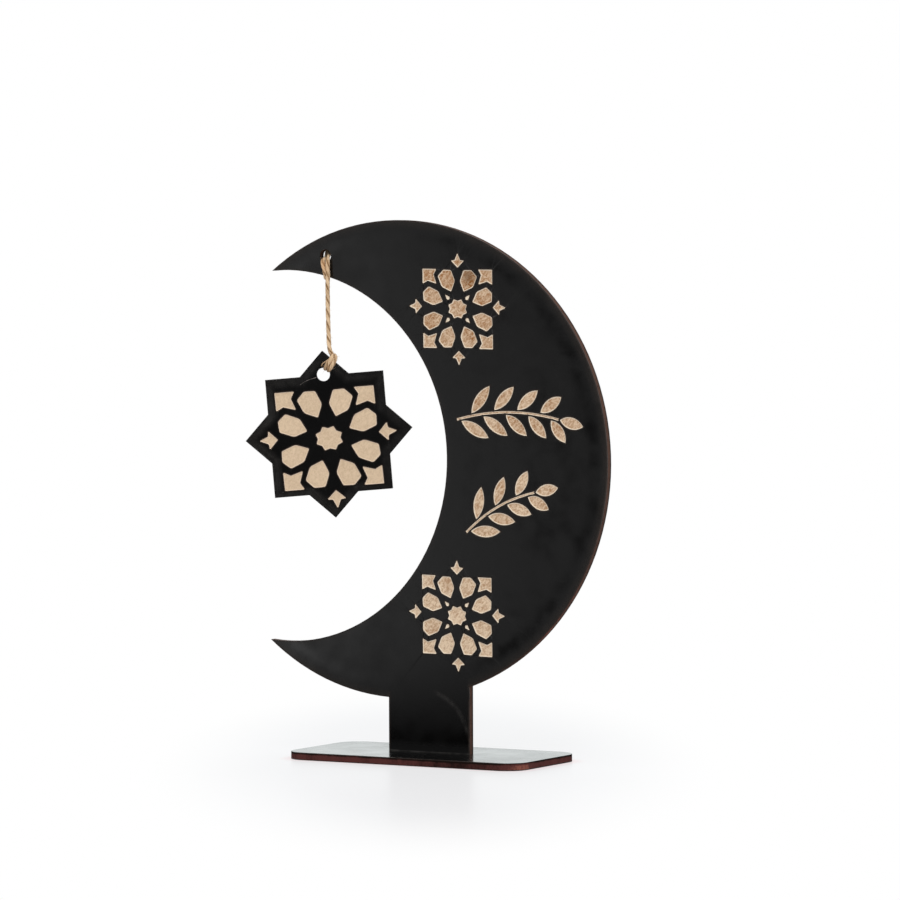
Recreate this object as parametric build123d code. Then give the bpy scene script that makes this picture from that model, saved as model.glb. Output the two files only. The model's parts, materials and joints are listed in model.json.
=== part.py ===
# Eid crescent ornament: a crescent panel standing in a slotted base, with a star pendant on twine.
# Millimetres, +Z up. The origin is the middle of the base's underside. X runs along the panel,
# and the panel's front looks towards -Y.
import os
from math import atan2, cos, degrees, hypot, pi, radians, sin, sqrt, tan

from build123d import *

# Board stock: a fibre core with a black laminate on each side
board_thickness = 3.0
laminate_thickness = 0.3

# Base plate
base_length = 106.0
base_depth = 51.0
base_corner_radius = 9.0

# Crescent panel: an outer circle less a hollow circle, on a stem with a tab that plugs into the base
outer_radius = 94.15
hollow_radius = 74.0
hollow_offset = 51.5
hollow_rise = 0.53
crescent_offset = -13.9
stem_width = 36.7
stem_height = 21.0
tab_width = 24.0
tab_recess = 0.4
slot_clearance = 0.15

# Twine hole in the upper horn
horn_hole_radius = 2.6
horn_hole_from_stem = -46.85

# Star pendant: two crossed squares with a hole under the top point
star_tip_radius = 33.17
star_hole_radius = 2.65
star_hole_from_tip = 9.4
star_hole_shift = -0.25
star_turn = 28.1
star_lean = 4.55
star_shift = 0.3
pendant_reach = 60.0

# Engraved rosette at the panel's scale: eight petals, a centre star, corner tails, arrows and drops
rosette_half_side = 15.6
petal_inner_tip = 7.35
petal_waist_radius = 11.05
petal_waist_angle = 16.8
petal_shoulder_radius = 15.5
petal_shoulder_angle = 12.1
petal_outer_tip = 16.6
petal_inner_rounding = 0.4
petal_waist_rounding = 2.2
petal_shoulder_rounding = 0.9
petal_outer_rounding = 1.3
side_petal_stretch = 1.04
side_petal_squeeze = 0.945
centre_star_tip = 4.06
centre_star_notch = 3.2
centre_star_stretch = 1.105
centre_star_rounding = 0.35
tail_length = 5.9
tail_notch = 2.2
tail_fork = 4.7
tail_stretch = 1.055
tail_rounding = 0.25
arrow_foot = 0.4
arrow_length = 5.8
arrow_barb_rise = 2.8
arrow_half_width = 3.0
arrow_neck_rise = 2.95
arrow_neck_half_width = 1.25
arrow_rounding = 0.2
arrow_neck_rounding = 0.8
top_arrow_shift = (0.15, 0.2)
left_arrow_shift = (-0.09, 0.78)
bottom_arrow_shift = (0.32, -0.55)
right_arrow_shift = (-0.27, 0.78)
drop_heel = 5.1
drop_shoulder = 5.85
drop_tip = 7.8
drop_width = 1.64
drop_rounding = 0.55
drop_tip_rounding = 0.12

# Where the engravings sit, measured from the hollow's edge along a ray from the hollow's centre
upper_rosette_inset = 24.6
upper_rosette_angle = 36.62
lower_rosette_inset = 25.5
lower_rosette_angle = -38.06
pendant_rosette_half_side = 19.6
pendant_rosette_drop = 1.55

# How the rosettes are drawn: stretch across, slant across, slant up, stretch up
panel_drawing = (1.007, -0.010, -0.0145, 0.992)
pendant_drawing = (1.006, -0.026, -0.003, 0.996)

# Two leafy sprigs between the rosettes
sprig_stem_width = 0.9
sprig_leaf_width = 4.6
sprig_leaf_gap = 0.55
sprig_leaf_spread = 42.0
sprig_leaf_taper = 0.25
sprig_first_leaf = 0.35
upper_sprig_inset = 6.2
upper_sprig_angle = 11.2
upper_sprig_heading = 15.0
upper_sprig_bend = 92.0
upper_sprig_length = 46.0
upper_sprig_leaf = 14.0
upper_sprig_leaves = 9
lower_sprig_inset = 13.5
lower_sprig_angle = -19.0
lower_sprig_heading = 44.0
lower_sprig_bend = 62.0
lower_sprig_length = 35.0
lower_sprig_leaf = 13.5
lower_sprig_leaves = 7

# Twine: a round turn on the horn, two short links that let the pendant swing, a drop and a loop
twine_diameter = 1.7
twine_clearance = 0.45
hitch_edge_clearance = 0.2
twine_gap = 0.4
twine_bend_radius = 1.95
hitch_pitch = 2.15
hitch_shift_in_hole = 0.2
pendant_from_hole = 1.825
hitch_height_in_hole = -0.7
hitch_tail = 4.6
swing_below_edge = 2.2
link_length = 3.4
loop_angle = 32.5
loop_in_hole = 1.6
knot_beyond_edge = 1.95
knot_radius = 1.6
knot_length = 3.4
knot_rounding = 0.7
knot_clearance = 0.15
leader_length = 4.4
leader_ease = 0.45

# Worked out from the sizes above
twine_radius = twine_diameter / 2
core_thickness = board_thickness - 2 * laminate_thickness
crescent_centre = (crescent_offset, board_thickness + stem_height + outer_radius)
hollow_centre = (crescent_offset - hollow_offset, crescent_centre[1] + hollow_rise)
twine_stand_off = board_thickness / 2 + twine_radius + twine_clearance
knuckle = twine_radius + twine_gap / 2


def place_from_hollow(inset, angle):
    """A point on the panel, a distance outside the hollow's edge along a ray from its centre."""
    reach = hollow_radius + inset
    return (
        hollow_centre[0] + reach * cos(radians(angle)),
        hollow_centre[1] + reach * sin(radians(angle)),
    )


def height_on_circle(centre, radius, x):
    """The height of a circle's upper half at x."""
    return centre[1] + sqrt(radius**2 - (x - centre[0]) ** 2)


horn_edge_at_hole = height_on_circle(hollow_centre, hollow_radius, horn_hole_from_stem)
horn_top_at_hole = height_on_circle(crescent_centre, outer_radius, horn_hole_from_stem)
horn_hole = (horn_hole_from_stem, (horn_edge_at_hole + horn_top_at_hole) / 2)

# The pendant's line: the front strand of the hitch, which hangs clear of the panel's face
pendant_x = horn_hole[0] + pendant_from_hole
pendant_y = -twine_stand_off
horn_edge = height_on_circle(hollow_centre, hollow_radius, pendant_x)
swing_height = horn_edge - swing_below_edge
sway_height = swing_height - link_length
twist_height = sway_height - link_length
star_height = swing_height - pendant_reach
star_hang = Pos(pendant_x, pendant_y, star_height) * Rot(0, 0, star_turn) * Rot(0, -star_lean, 0)
star_place = star_hang * Pos(star_shift, 0, 0)


def polar(radius, angle):
    """A point from its radius and its angle in degrees."""
    return (radius * cos(radians(angle)), radius * sin(radians(angle)))


def layer(outline, front, rear):
    """A flat layer of board that stands upright, between two distances in front of the mid-plane."""
    return extrude(Plane.XZ.offset(rear) * outline, front - rear)


def flat_layer(outline, bottom, top):
    """A flat layer of board that lies down, between two heights."""
    return extrude(Plane.XY.offset(bottom) * outline, top - bottom)


# Engraved cells, each a list of its corners and a list of their roundings

def turned(points, angle):
    """Points turned about the origin by an angle in degrees."""
    across = cos(radians(angle))
    up = sin(radians(angle))
    return [(across * x - up * y, up * x + across * y) for x, y in points]


def centre_star():
    """The small eight-pointed star in the middle of a rosette."""
    points = []
    for step in range(8):
        points.append(polar(centre_star_notch, 45 * step))
        points.append(polar(centre_star_tip, 45 * step + 22.5))
    stretched = [(centre_star_stretch * x, y) for x, y in points]
    return stretched, [centre_star_rounding] * len(points)


def petal(axis):
    """A six-sided petal that points at the centre along its axis; those at the sides are slimmer."""
    at_side = abs(cos(radians(axis))) > abs(sin(radians(axis)))
    stretch = side_petal_stretch if at_side else 1
    squeeze = side_petal_squeeze if at_side else 1
    middle = (petal_inner_tip + petal_outer_tip) / 2
    corners = [
        polar(petal_inner_tip, 0),
        polar(petal_waist_radius, petal_waist_angle),
        polar(petal_shoulder_radius, petal_shoulder_angle),
        polar(petal_outer_tip, 0),
        polar(petal_shoulder_radius, -petal_shoulder_angle),
        polar(petal_waist_radius, -petal_waist_angle),
    ]
    roundings = [
        petal_inner_rounding,
        petal_waist_rounding,
        petal_shoulder_rounding,
        petal_outer_rounding,
        petal_shoulder_rounding,
        petal_waist_rounding,
    ]
    return turned([(middle + stretch * (x - middle), squeeze * y) for x, y in corners], axis), roundings


def corner_tail(side, height):
    """A square corner whose two inner sides are notched like a swallow's tail."""
    from_corner = [
        (tail_length, 0),
        (0, 0),
        (0, tail_length),
        (tail_notch, tail_fork),
        (tail_length, tail_length),
        (tail_fork, tail_notch),
    ]
    points = [
        (side * (rosette_half_side - tail_stretch * x), height * (rosette_half_side - y))
        for x, y in from_corner
    ]
    return points, [tail_rounding] * len(points)


def arrow(turn, shift):
    """An arrow that points away from the rosette's side, with a shift of its own."""
    foot = rosette_half_side + arrow_foot
    points = [
        (0, foot),
        (arrow_half_width, foot + arrow_barb_rise),
        (arrow_neck_half_width, foot + arrow_neck_rise),
        (0, foot + arrow_length),
        (-arrow_neck_half_width, foot + arrow_neck_rise),
        (-arrow_half_width, foot + arrow_barb_rise),
    ]
    roundings = [
        arrow_rounding,
        arrow_rounding,
        arrow_neck_rounding,
        arrow_rounding,
        arrow_neck_rounding,
        arrow_rounding,
    ]
    return [(x + shift[0], y + shift[1]) for x, y in turned(points, turn)], roundings


def small_drop(axis):
    """A small drop between two petals, its blunt end towards the centre."""
    points = [
        (drop_heel, 0),
        (drop_shoulder, drop_width / 2),
        (drop_tip, 0),
        (drop_shoulder, -drop_width / 2),
    ]
    return turned(points, axis), [drop_rounding, drop_rounding, drop_tip_rounding, drop_rounding]


def rosette(on_panel):
    """The engraved cells of one rosette about its own centre."""
    cells = [centre_star()]
    cells += [petal(45 * step + 22.5) for step in range(8)]
    cells += [corner_tail(side, height) for side in (1, -1) for height in (1, -1)]
    cells.append(arrow(90, left_arrow_shift))
    cells.append(arrow(180, bottom_arrow_shift))
    cells.append(arrow(270, right_arrow_shift))
    if on_panel:
        cells.append(arrow(0, top_arrow_shift))
        cells += [small_drop(90 * step + 45) for step in range(4)]
    return cells


def drawn(cells, growth, drawing, centre):
    """The cells as faces, grown, slanted as drawn, moved to their centre and rounded at their corners."""
    wide, lean_across, lean_up, tall = drawing
    faces = []
    for points, roundings in cells:
        placed = [
            (
                centre[0] + growth * (wide * x + lean_across * y),
                centre[1] + growth * (lean_up * x + tall * y),
            )
            for x, y in points
        ]
        radii = [growth * rounding for rounding in roundings]
        faces.append(make_face(FilletPolyline(*placed, radius=radii, close=True)))
    return faces


def leaf(length):
    """A pointed leaf along +X from the origin."""
    tip = (length, 0)
    upper_side = ThreePointArc((0, 0), (length / 2, sprig_leaf_width / 2), tip)
    lower_side = ThreePointArc(tip, (length / 2, -sprig_leaf_width / 2), (0, 0))
    return make_face([upper_side, lower_side])


def sprig(foot, heading, bend, length, leaf_length, leaves):
    """A stem that bends to the right, with leaves by turns on each side and one at its end."""
    centre = (foot[0] + bend * sin(radians(heading)), foot[1] - bend * cos(radians(heading)))
    start = heading + 90
    sweep_angle = degrees(length / bend)
    outer = CenterArc(centre, bend + sprig_stem_width / 2, start, -sweep_angle)
    inner = CenterArc(centre, bend - sprig_stem_width / 2, start, -sweep_angle)
    sides = [Line(outer @ 0, inner @ 0), Line(outer @ 1, inner @ 1)]
    cells = [make_face([outer, inner] + sides)]
    for number in range(leaves):
        share = (number + sprig_first_leaf) / leaves
        along = start - sweep_angle * share
        side = 1 if number % 2 else -1
        off_stem = bend + side * (sprig_stem_width / 2 + sprig_leaf_gap)
        root = (centre[0] + polar(off_stem, along)[0], centre[1] + polar(off_stem, along)[1])
        size = leaf_length * (1 - sprig_leaf_taper * share)
        cells.append(Pos(*root) * Rot(0, 0, along - 90 + side * sprig_leaf_spread) * leaf(size))
    end = start - sweep_angle - degrees(sprig_leaf_gap / bend)
    tip = (centre[0] + polar(bend, end)[0], centre[1] + polar(bend, end)[1])
    cells.append(Pos(*tip) * Rot(0, 0, end - 90) * leaf(leaf_length * (1 - sprig_leaf_taper)))
    return cells


# Boards

def crescent_outline():
    """The panel's outline: the crescent, its stem and the tab below it."""
    stem_bottom = board_thickness
    stem = Pos(0, (stem_bottom + crescent_centre[1]) / 2) * Rectangle(
        stem_width, crescent_centre[1] - stem_bottom
    )
    tab = Pos(0, (tab_recess + stem_bottom + stem_height) / 2) * Rectangle(
        tab_width, stem_bottom + stem_height - tab_recess
    )
    outline = Pos(*crescent_centre) * Circle(outer_radius) + stem + tab
    outline -= Pos(*hollow_centre) * Circle(hollow_radius)
    return outline - Pos(*horn_hole) * Circle(horn_hole_radius)


def panel_engraving():
    """Two rosettes and two sprigs, in the panel's own plane."""
    cells = []
    for inset, angle in (
        (upper_rosette_inset, upper_rosette_angle),
        (lower_rosette_inset, lower_rosette_angle),
    ):
        cells += drawn(rosette(True), 1, panel_drawing, place_from_hollow(inset, angle))
    cells += sprig(
        place_from_hollow(upper_sprig_inset, upper_sprig_angle),
        upper_sprig_heading,
        upper_sprig_bend,
        upper_sprig_length,
        upper_sprig_leaf,
        upper_sprig_leaves,
    )
    cells += sprig(
        place_from_hollow(lower_sprig_inset, lower_sprig_angle),
        lower_sprig_heading,
        lower_sprig_bend,
        lower_sprig_length,
        lower_sprig_leaf,
        lower_sprig_leaves,
    )
    return cells


def star_outline():
    """Two squares crossed at 45 degrees, with the twine hole under the top point."""
    side = star_tip_radius * sqrt(2)
    squares = Rectangle(side, side) + Rot(0, 0, 45) * Rectangle(side, side)
    hole = Pos(star_hole_shift, star_tip_radius - star_hole_from_tip) * Circle(star_hole_radius)
    return squares - hole


def pendant_engraving():
    """The pendant's rosette, larger than the panel's, with no arrow where the hole is."""
    growth = pendant_rosette_half_side / rosette_half_side
    return drawn(rosette(False), growth, pendant_drawing, (0, -pendant_rosette_drop))


def base_outline():
    """The base plate's rounded outline with the slot that takes the tab."""
    slot = Rectangle(tab_width + 2 * slot_clearance, board_thickness + 2 * slot_clearance)
    return RectangleRounded(base_length, base_depth, base_corner_radius) - slot


def upright_board(outline, cells):
    """The core, engraved front laminate and rear laminate of a board that stands upright."""
    half_core = core_thickness / 2
    half_board = board_thickness / 2
    core = layer(outline, half_core, -half_core)
    front = layer(outline - cells, half_board, half_core)
    rear = layer(outline, -half_core, -half_board)
    return core, front, rear


# Twine

def tube(points, radii):
    """A round twine along straight runs joined by tangent arcs."""
    path = FilletPolyline(*points, radius=radii)
    section = Plane(origin=path @ 0, z_dir=path % 0) * Circle(twine_radius)
    return sweep(section, path), path


def dome(point):
    """A ball that rounds off an end of the twine."""
    return Pos(*point) * Sphere(twine_radius)


def link(top, bottom):
    """A short straight link of twine with domed ends, between two hinge heights."""
    first = (pendant_x, pendant_y, top - knuckle)
    last = (pendant_x, pendant_y, bottom + knuckle)
    middle = Pos(pendant_x, pendant_y, (top + bottom) / 2)
    return middle * Cylinder(twine_radius, first[2] - last[2]) + dome(first) + dome(last)


def knot(centre, direction):
    """A pulled-tight knot, drawn as a rounded barrel along the twine."""
    barrel = Cylinder(knot_radius, knot_length)
    barrel = fillet(barrel.edges().filter_by(GeomType.CIRCLE), knot_rounding)
    return Plane(origin=centre, z_dir=direction) * barrel


def hitch_points():
    """The round turn on the horn: from the tail behind the panel to the front strand that hangs."""
    left = horn_hole[0] + hitch_shift_in_hole - hitch_pitch / 2
    right = left + hitch_pitch
    through = horn_hole[1] + hitch_height_in_hole
    edge = height_on_circle(hollow_centre, hollow_radius, left)
    under = edge - twine_radius - hitch_edge_clearance
    back = twine_stand_off
    tail_back = board_thickness / 2 + knot_radius + knot_clearance
    return [
        (left, tail_back, through + hitch_tail),
        (left, back, through),
        (left, -back, through),
        (left, -back, under),
        (left, back, under),
        (right, back, through),
        (right, -back, through),
        (pendant_x, -back, swing_height + knuckle),
    ]


def least_self_gap(path, diameter):
    """The smallest clear gap between stretches of a tube that lie apart along its length."""
    count = 400
    points = [path @ (step / count) for step in range(count + 1)]
    spacing = path.length / count
    apart = int(3 * diameter / spacing)
    gaps = []
    for first in range(count + 1):
        for second in range(first + apart, count + 1):
            gaps.append((points[first] - points[second]).length - diameter)
    return min(gaps)


def star_point(across, up, forward):
    """A point given on the star (to its right, up and in front of its mid-plane), in the whole frame."""
    local = Pos(across, -forward, up)
    return tuple((star_place * local).position)


def loop_point(reach, forward):
    """A point of the loop: a reach from the star hole's centre towards the knot, and a step forward."""
    hole_up = star_tip_radius - star_hole_from_tip
    across = star_hole_shift + reach * sin(radians(loop_angle))
    up = hole_up + reach * cos(radians(loop_angle))
    return star_point(across, up, forward)


hole_from_edge = star_hole_from_tip - star_hole_shift
edge_reach = hole_from_edge / (sin(radians(loop_angle)) + cos(radians(loop_angle)))
edge_slope = cos(radians(45 - loop_angle))
knot_reach = edge_reach + knot_beyond_edge / edge_slope
knot_centre = loop_point(knot_reach, 0)


def loop_points():
    """The loop through the star's hole and round its edge, with both ends in the knot."""
    corner = knot_reach - knot_radius / 2
    inside = knot_radius / 2
    return [
        loop_point(knot_reach, inside),
        loop_point(corner, twine_stand_off),
        loop_point(loop_in_hole, twine_stand_off),
        loop_point(loop_in_hole, -twine_stand_off),
        loop_point(corner, -twine_stand_off),
        loop_point(knot_reach, -inside),
    ]


leader_top = Vector(pendant_x, pendant_y, knot_centre[2] + leader_length)
leader = leader_top - Vector(*knot_centre)
knot_top = Vector(*knot_centre) + leader.normalized() * (knot_length / 2)


def drop_points():
    """The drop: straight down from the twist, then a short leader across to the knot's top."""
    return [
        (pendant_x, pendant_y, twist_height - knuckle),
        tuple(leader_top),
        tuple(knot_top),
    ]


def leader_bend_radius():
    """The largest bend that the short leader leaves room for."""
    turn = atan2(hypot(leader.X, leader.Y), leader.Z)
    return leader_ease * (leader_top - knot_top).length / tan(turn / 2)


parts = {}
(
    parts["crescent_core"],
    parts["crescent_front_laminate"],
    parts["crescent_rear_laminate"],
) = upright_board(crescent_outline(), panel_engraving())

for name, board in zip(
    ("star_core", "star_front_laminate", "star_rear_laminate"),
    upright_board(star_outline(), pendant_engraving()),
):
    parts[name] = star_place * board

base_plan = base_outline()
parts["base_bottom_laminate"] = flat_layer(base_plan, 0, laminate_thickness)
parts["base_core"] = flat_layer(base_plan, laminate_thickness, board_thickness - laminate_thickness)
parts["base_top_laminate"] = flat_layer(
    base_plan, board_thickness - laminate_thickness, board_thickness
)

hitch_route = hitch_points()
hitch_radii = [twine_bend_radius] * (len(hitch_route) - 2)
hitch_tube, hitch_path = tube(hitch_route, hitch_radii)
parts["twine_hitch"] = hitch_tube + dome(hitch_route[-1])
tail_end = Vector(*hitch_route[0])
tail_run = (tail_end - Vector(*hitch_route[1])).normalized()
parts["twine_stopper_knot"] = knot(tuple(tail_end + tail_run * (knot_length / 2)), tuple(tail_run))
parts["twine_upper_link"] = link(swing_height, sway_height)
parts["twine_lower_link"] = link(sway_height, twist_height)

drop_route = drop_points()
drop_bend = leader_bend_radius()
drop_tube, drop_path = tube(drop_route, [drop_bend])
parts["twine_drop"] = drop_tube + dome(drop_route[0])
loop_route = loop_points()
loop_radii = [twine_bend_radius] * (len(loop_route) - 2)
parts["twine_star_loop"], loop_path = tube(loop_route, loop_radii)
parts["twine_knot"] = knot(knot_centre, tuple(leader))

os.makedirs("parts", exist_ok=True)
for name, shape in parts.items():
    export_step(shape, f"parts/{name}.step")

twine_section = pi * twine_radius**2
for name, path, radii in (
    ("twine_hitch", hitch_path, hitch_radii),
    ("twine_drop", drop_path, [drop_bend]),
    ("twine_star_loop", loop_path, loop_radii),
):
    swept = parts[name].volume / (twine_section * path.length)
    bends = ", ".join(f"{radius:.2f}" for radius in radii)
    print(f"{name}: length {path.length:.2f}, bend radii {bends}, volume ratio {swept:.3f}")
print(f"twine_hitch: least gap to itself {least_self_gap(hitch_path, twine_diameter):.2f}")
print(f"hinges: x {pendant_x:.3f}, y {pendant_y:.3f}")
print(f"hinge heights: swing {swing_height:.3f}, sway {sway_height:.3f}, twist {twist_height:.3f}")
print(f"star centre height {star_height:.3f}, knot {[round(value, 3) for value in knot_centre]}")
print("hitch route", [[round(value, 3) for value in point] for point in hitch_route])
print("drop route", [[round(value, 3) for value in point] for point in drop_route])
print("loop route", [[round(value, 3) for value in point] for point in loop_route])
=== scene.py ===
# Dresses the eid crescent ornament: twisted twine, engraved cells, board finishes and a plain studio.
# Metres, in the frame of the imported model: +Z up, the panel's front looks towards -Y.
import json
import math
import random

import bmesh
import bpy
from mathutils import Matrix, Vector, noise
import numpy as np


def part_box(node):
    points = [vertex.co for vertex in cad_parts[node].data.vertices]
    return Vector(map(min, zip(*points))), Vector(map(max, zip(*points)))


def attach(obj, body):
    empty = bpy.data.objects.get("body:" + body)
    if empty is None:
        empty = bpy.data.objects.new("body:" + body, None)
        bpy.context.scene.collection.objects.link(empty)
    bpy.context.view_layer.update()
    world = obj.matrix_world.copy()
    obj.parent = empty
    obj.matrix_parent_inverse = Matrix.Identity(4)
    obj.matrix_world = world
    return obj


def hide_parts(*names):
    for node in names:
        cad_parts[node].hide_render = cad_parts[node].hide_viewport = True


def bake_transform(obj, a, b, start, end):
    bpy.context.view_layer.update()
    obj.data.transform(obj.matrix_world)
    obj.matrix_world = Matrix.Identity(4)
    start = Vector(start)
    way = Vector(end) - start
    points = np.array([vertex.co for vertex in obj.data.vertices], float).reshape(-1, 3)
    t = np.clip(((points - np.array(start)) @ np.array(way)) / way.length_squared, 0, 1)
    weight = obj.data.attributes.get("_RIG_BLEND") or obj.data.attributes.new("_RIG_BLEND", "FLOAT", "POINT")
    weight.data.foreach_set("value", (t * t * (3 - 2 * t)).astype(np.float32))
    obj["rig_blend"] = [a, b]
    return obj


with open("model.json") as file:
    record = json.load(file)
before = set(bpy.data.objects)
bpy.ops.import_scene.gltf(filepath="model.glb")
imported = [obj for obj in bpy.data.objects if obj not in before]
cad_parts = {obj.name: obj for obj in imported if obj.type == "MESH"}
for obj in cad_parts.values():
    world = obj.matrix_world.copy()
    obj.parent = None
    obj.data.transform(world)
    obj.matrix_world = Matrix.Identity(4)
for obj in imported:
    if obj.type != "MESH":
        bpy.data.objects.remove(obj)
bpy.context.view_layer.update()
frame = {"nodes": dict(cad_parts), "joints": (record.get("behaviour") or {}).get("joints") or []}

bl_info = {
    "name": "Crescent Ornament Dresser",
    "version": (1, 0, 0),
    "blender": (4, 5, 0),
    "location": "3D View > Sidebar > Ornament",
    "description": "Adds twine, engraving, board finishes and a studio to the crescent ornament",
    "category": "Object",
}

MM = 0.001

# The twine's route, from the tail behind the panel to the hanging stretch
TAIL_ROUTE = [
    (-0.0451, 0.0042, 0.2032),
    (-0.0459, 0.0043, 0.2053),
    (-0.0476, 0.0037, 0.2055),
]
HITCH_ROUTE = [
    (-0.047725, 0.00325, 0.202232),
    (-0.0483, 0.0026, 0.2010),
    (-0.0484, 0.0023, 0.1993),
    (-0.0482, 0.0010, 0.1977),
    (-0.0477, -0.0010, 0.1970),
    (-0.0474, -0.0022, 0.1969),
    (-0.0476, -0.00225, 0.1957),
    (-0.0472, -0.0022, 0.1938),
    (-0.0465, -0.0022, 0.1915),
    (-0.04635, -0.0021, 0.1900),
    (-0.0472, -0.0004, 0.1894),
    (-0.0483, 0.0015, 0.18975),
    (-0.0488, 0.0024, 0.1914),
    (-0.0491, 0.0025, 0.1945),
    (-0.0492, 0.0033, 0.1972),
    (-0.0487, 0.0039, 0.1990),
    (-0.0473, 0.0030, 0.1999),
    (-0.0463, 0.0009, 0.1990),
    (-0.0456, -0.0013, 0.1979),
    (-0.0452, -0.0025, 0.1967),
    (-0.0452, -0.0024, 0.1930),
    (-0.0450, -0.0025, 0.1903),
    (-0.045025, -0.0028, 0.1882),
]
DROP_ROUTE = [
    (-0.045025, -0.0028, 0.1862),
    (-0.045025, -0.0028, 0.17977),
    (-0.04485, -0.0027, 0.1700),
    (-0.0447, -0.00265, 0.1646),
    (-0.04455, -0.0026, 0.1622),
    (-0.0442, -0.0024, 0.1604),
]

# The two turns on the star's rim: reach from the hole's centre, step aside and step forward, in mm
LOOP_TURNS = [
    (8.8, -1.25, 0.1),
    (8.3, -0.6, -0.9),
    (7.4, -0.45, -1.9),
    (6.2, -0.45, -2.25),
    (2.8, -0.4, -2.25),
    (2.2, -0.4, 0.0),
    (2.65, -0.42, 2.15),
    (4.2, -0.5, 2.25),
    (5.9, -0.42, 2.3),
    (7.3, -0.25, 2.1),
    (8.55, -0.2, 1.0),
    (8.6, 0.0, -0.5),
    (7.7, 0.5, -1.8),
    (6.2, 0.85, -2.25),
    (2.8, 0.95, -2.25),
    (2.25, 0.95, 0.0),
    (2.75, 0.98, 2.15),
    (4.4, 1.35, 2.25),
    (6.1, 1.4, 2.3),
    (7.4, 1.15, 2.15),
    (8.4, 0.8, 1.2),
    (8.5, 0.45, 0.0),
    (8.2, 0.2, -0.8),
]
WISP_ROUTE = [
    (7.0, -0.6, 2.2),
    (6.3, -0.95, 1.95),
    (5.0, -1.65, 1.8),
    (3.4, -2.5, 1.75),
    (2.6, -2.1, 1.75),
]
LOOP_ANGLE = math.radians(34.0)

# The hinges of the hanging twine, top to bottom
HINGES = {joint["name"]: Vector(joint["pos_m"]) for joint in frame["joints"] if "pos_m" in joint}
SWING = HINGES["pendant_swing"]
SWAY = HINGES["pendant_sway"]
TWIST = HINGES["pendant_twist"]
BEND_REACH = 1.25 * MM
TWIST_REACH = 13.5 * MM
LEAD_START = SWING.z + 4.5 * MM

# The star's place, and its own axes: across, out of its face and up
STAR_HANG = Vector((-0.045025, -0.0028, 0.12762))
STAR_SHIFT = 0.3 * MM
STAR_TURN = math.radians(28.1)
STAR_LEAN = math.radians(4.55)
STAR_AXES = Matrix.Rotation(STAR_TURN, 3, "Z") @ Matrix.Rotation(-STAR_LEAN, 3, "Y")
STAR_ACROSS = STAR_AXES @ Vector((1, 0, 0))
STAR_FRONT = STAR_AXES @ Vector((0, -1, 0))
STAR_UP = STAR_AXES @ Vector((0, 0, 1))
STAR_CENTRE = STAR_HANG + STAR_ACROSS * STAR_SHIFT
STAR_HOLE_ASIDE = 0.25 * MM
STAR_HOLE_RISE = 23.77 * MM
STAR_HOLE = STAR_CENTRE - STAR_ACROSS * STAR_HOLE_ASIDE + STAR_UP * STAR_HOLE_RISE
PANEL_FRONT = Vector((0, -1, 0))

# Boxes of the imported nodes
PANEL_LOW, PANEL_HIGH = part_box("crescent_core")
BASE_LOW, BASE_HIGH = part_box("base_core")
BASE_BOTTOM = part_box("base_bottom_laminate")[0]
TWINE_LOW, TWINE_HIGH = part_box("twine_upper_link")

# Places and sizes on the boards, in millimetres, for the shaders
HORN_HOLE = Vector((-46.85, 0.0, 198.33))
STAR_HALF_SIDE = 23.45
OUTER_RADIUS = 94.15
HOLLOW_RADIUS = 74.0
HOLLOW_OFFSET = 51.5
HOLLOW_RISE = 0.53
CRESCENT_X = PANEL_HIGH.x / MM - OUTER_RADIUS
CRESCENT_Z = PANEL_HIGH.z / MM - OUTER_RADIUS
RUB_CENTRE = (-2.9, 0.0, 6.6)
RUB_RADIUS = 20.9
RUB_WIDTH = 1.5
CLEAN_INSET = 6.0
CLEAN_REACH = 4.5
STEM_HALF = 18.35
STEM_FOOT = 3.0
STEM_TOP = 27.0
# Painted highlight: the base's front right corner, where it faces the light, is made paler.
PAINTED_HIGHLIGHT_CORNER = (52.0, -19.5, 0.4)
# Painted light: the panel's lower right rim, which the floor lights from below, is made paler.
PAINTED_BOUNCE_RIM = (58.0, 0.0, 54.0)
SOOTY_FRONT = (27.0, -25.5, 1.5)

# The photograph's viewpoint
CAMERA_PLACE = Vector((1.0418, -1.7663, 0.2051))
CAMERA_RIGHT = Vector((0.8634, 0.5046, -0.004))
CAMERA_FORWARD = Vector((-0.5043, 0.8626, -0.0405))
CAMERA_LENS = 209.06
CAMERA_SENSOR = 36.0


# Settings that a user would change

def colour_setting(label, purpose, colour):
    """A colour."""
    return bpy.props.FloatVectorProperty(
        name=label, description=purpose, default=(*colour, 1), subtype="COLOR", size=4,
    )


def length_setting(label, purpose, metres):
    """A length."""
    return bpy.props.FloatProperty(
        name=label, description=purpose, default=metres, unit="LENGTH", precision=6,
    )


def share_setting(label, purpose, share):
    """A share between none and all."""
    return bpy.props.FloatProperty(
        name=label, description=purpose, default=share, subtype="FACTOR", min=0.0, max=1.0,
    )


def level_setting(label, purpose, level, unit="NONE"):
    """A level of light."""
    return bpy.props.FloatProperty(name=label, description=purpose, default=level, unit=unit, min=0.0)


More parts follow.
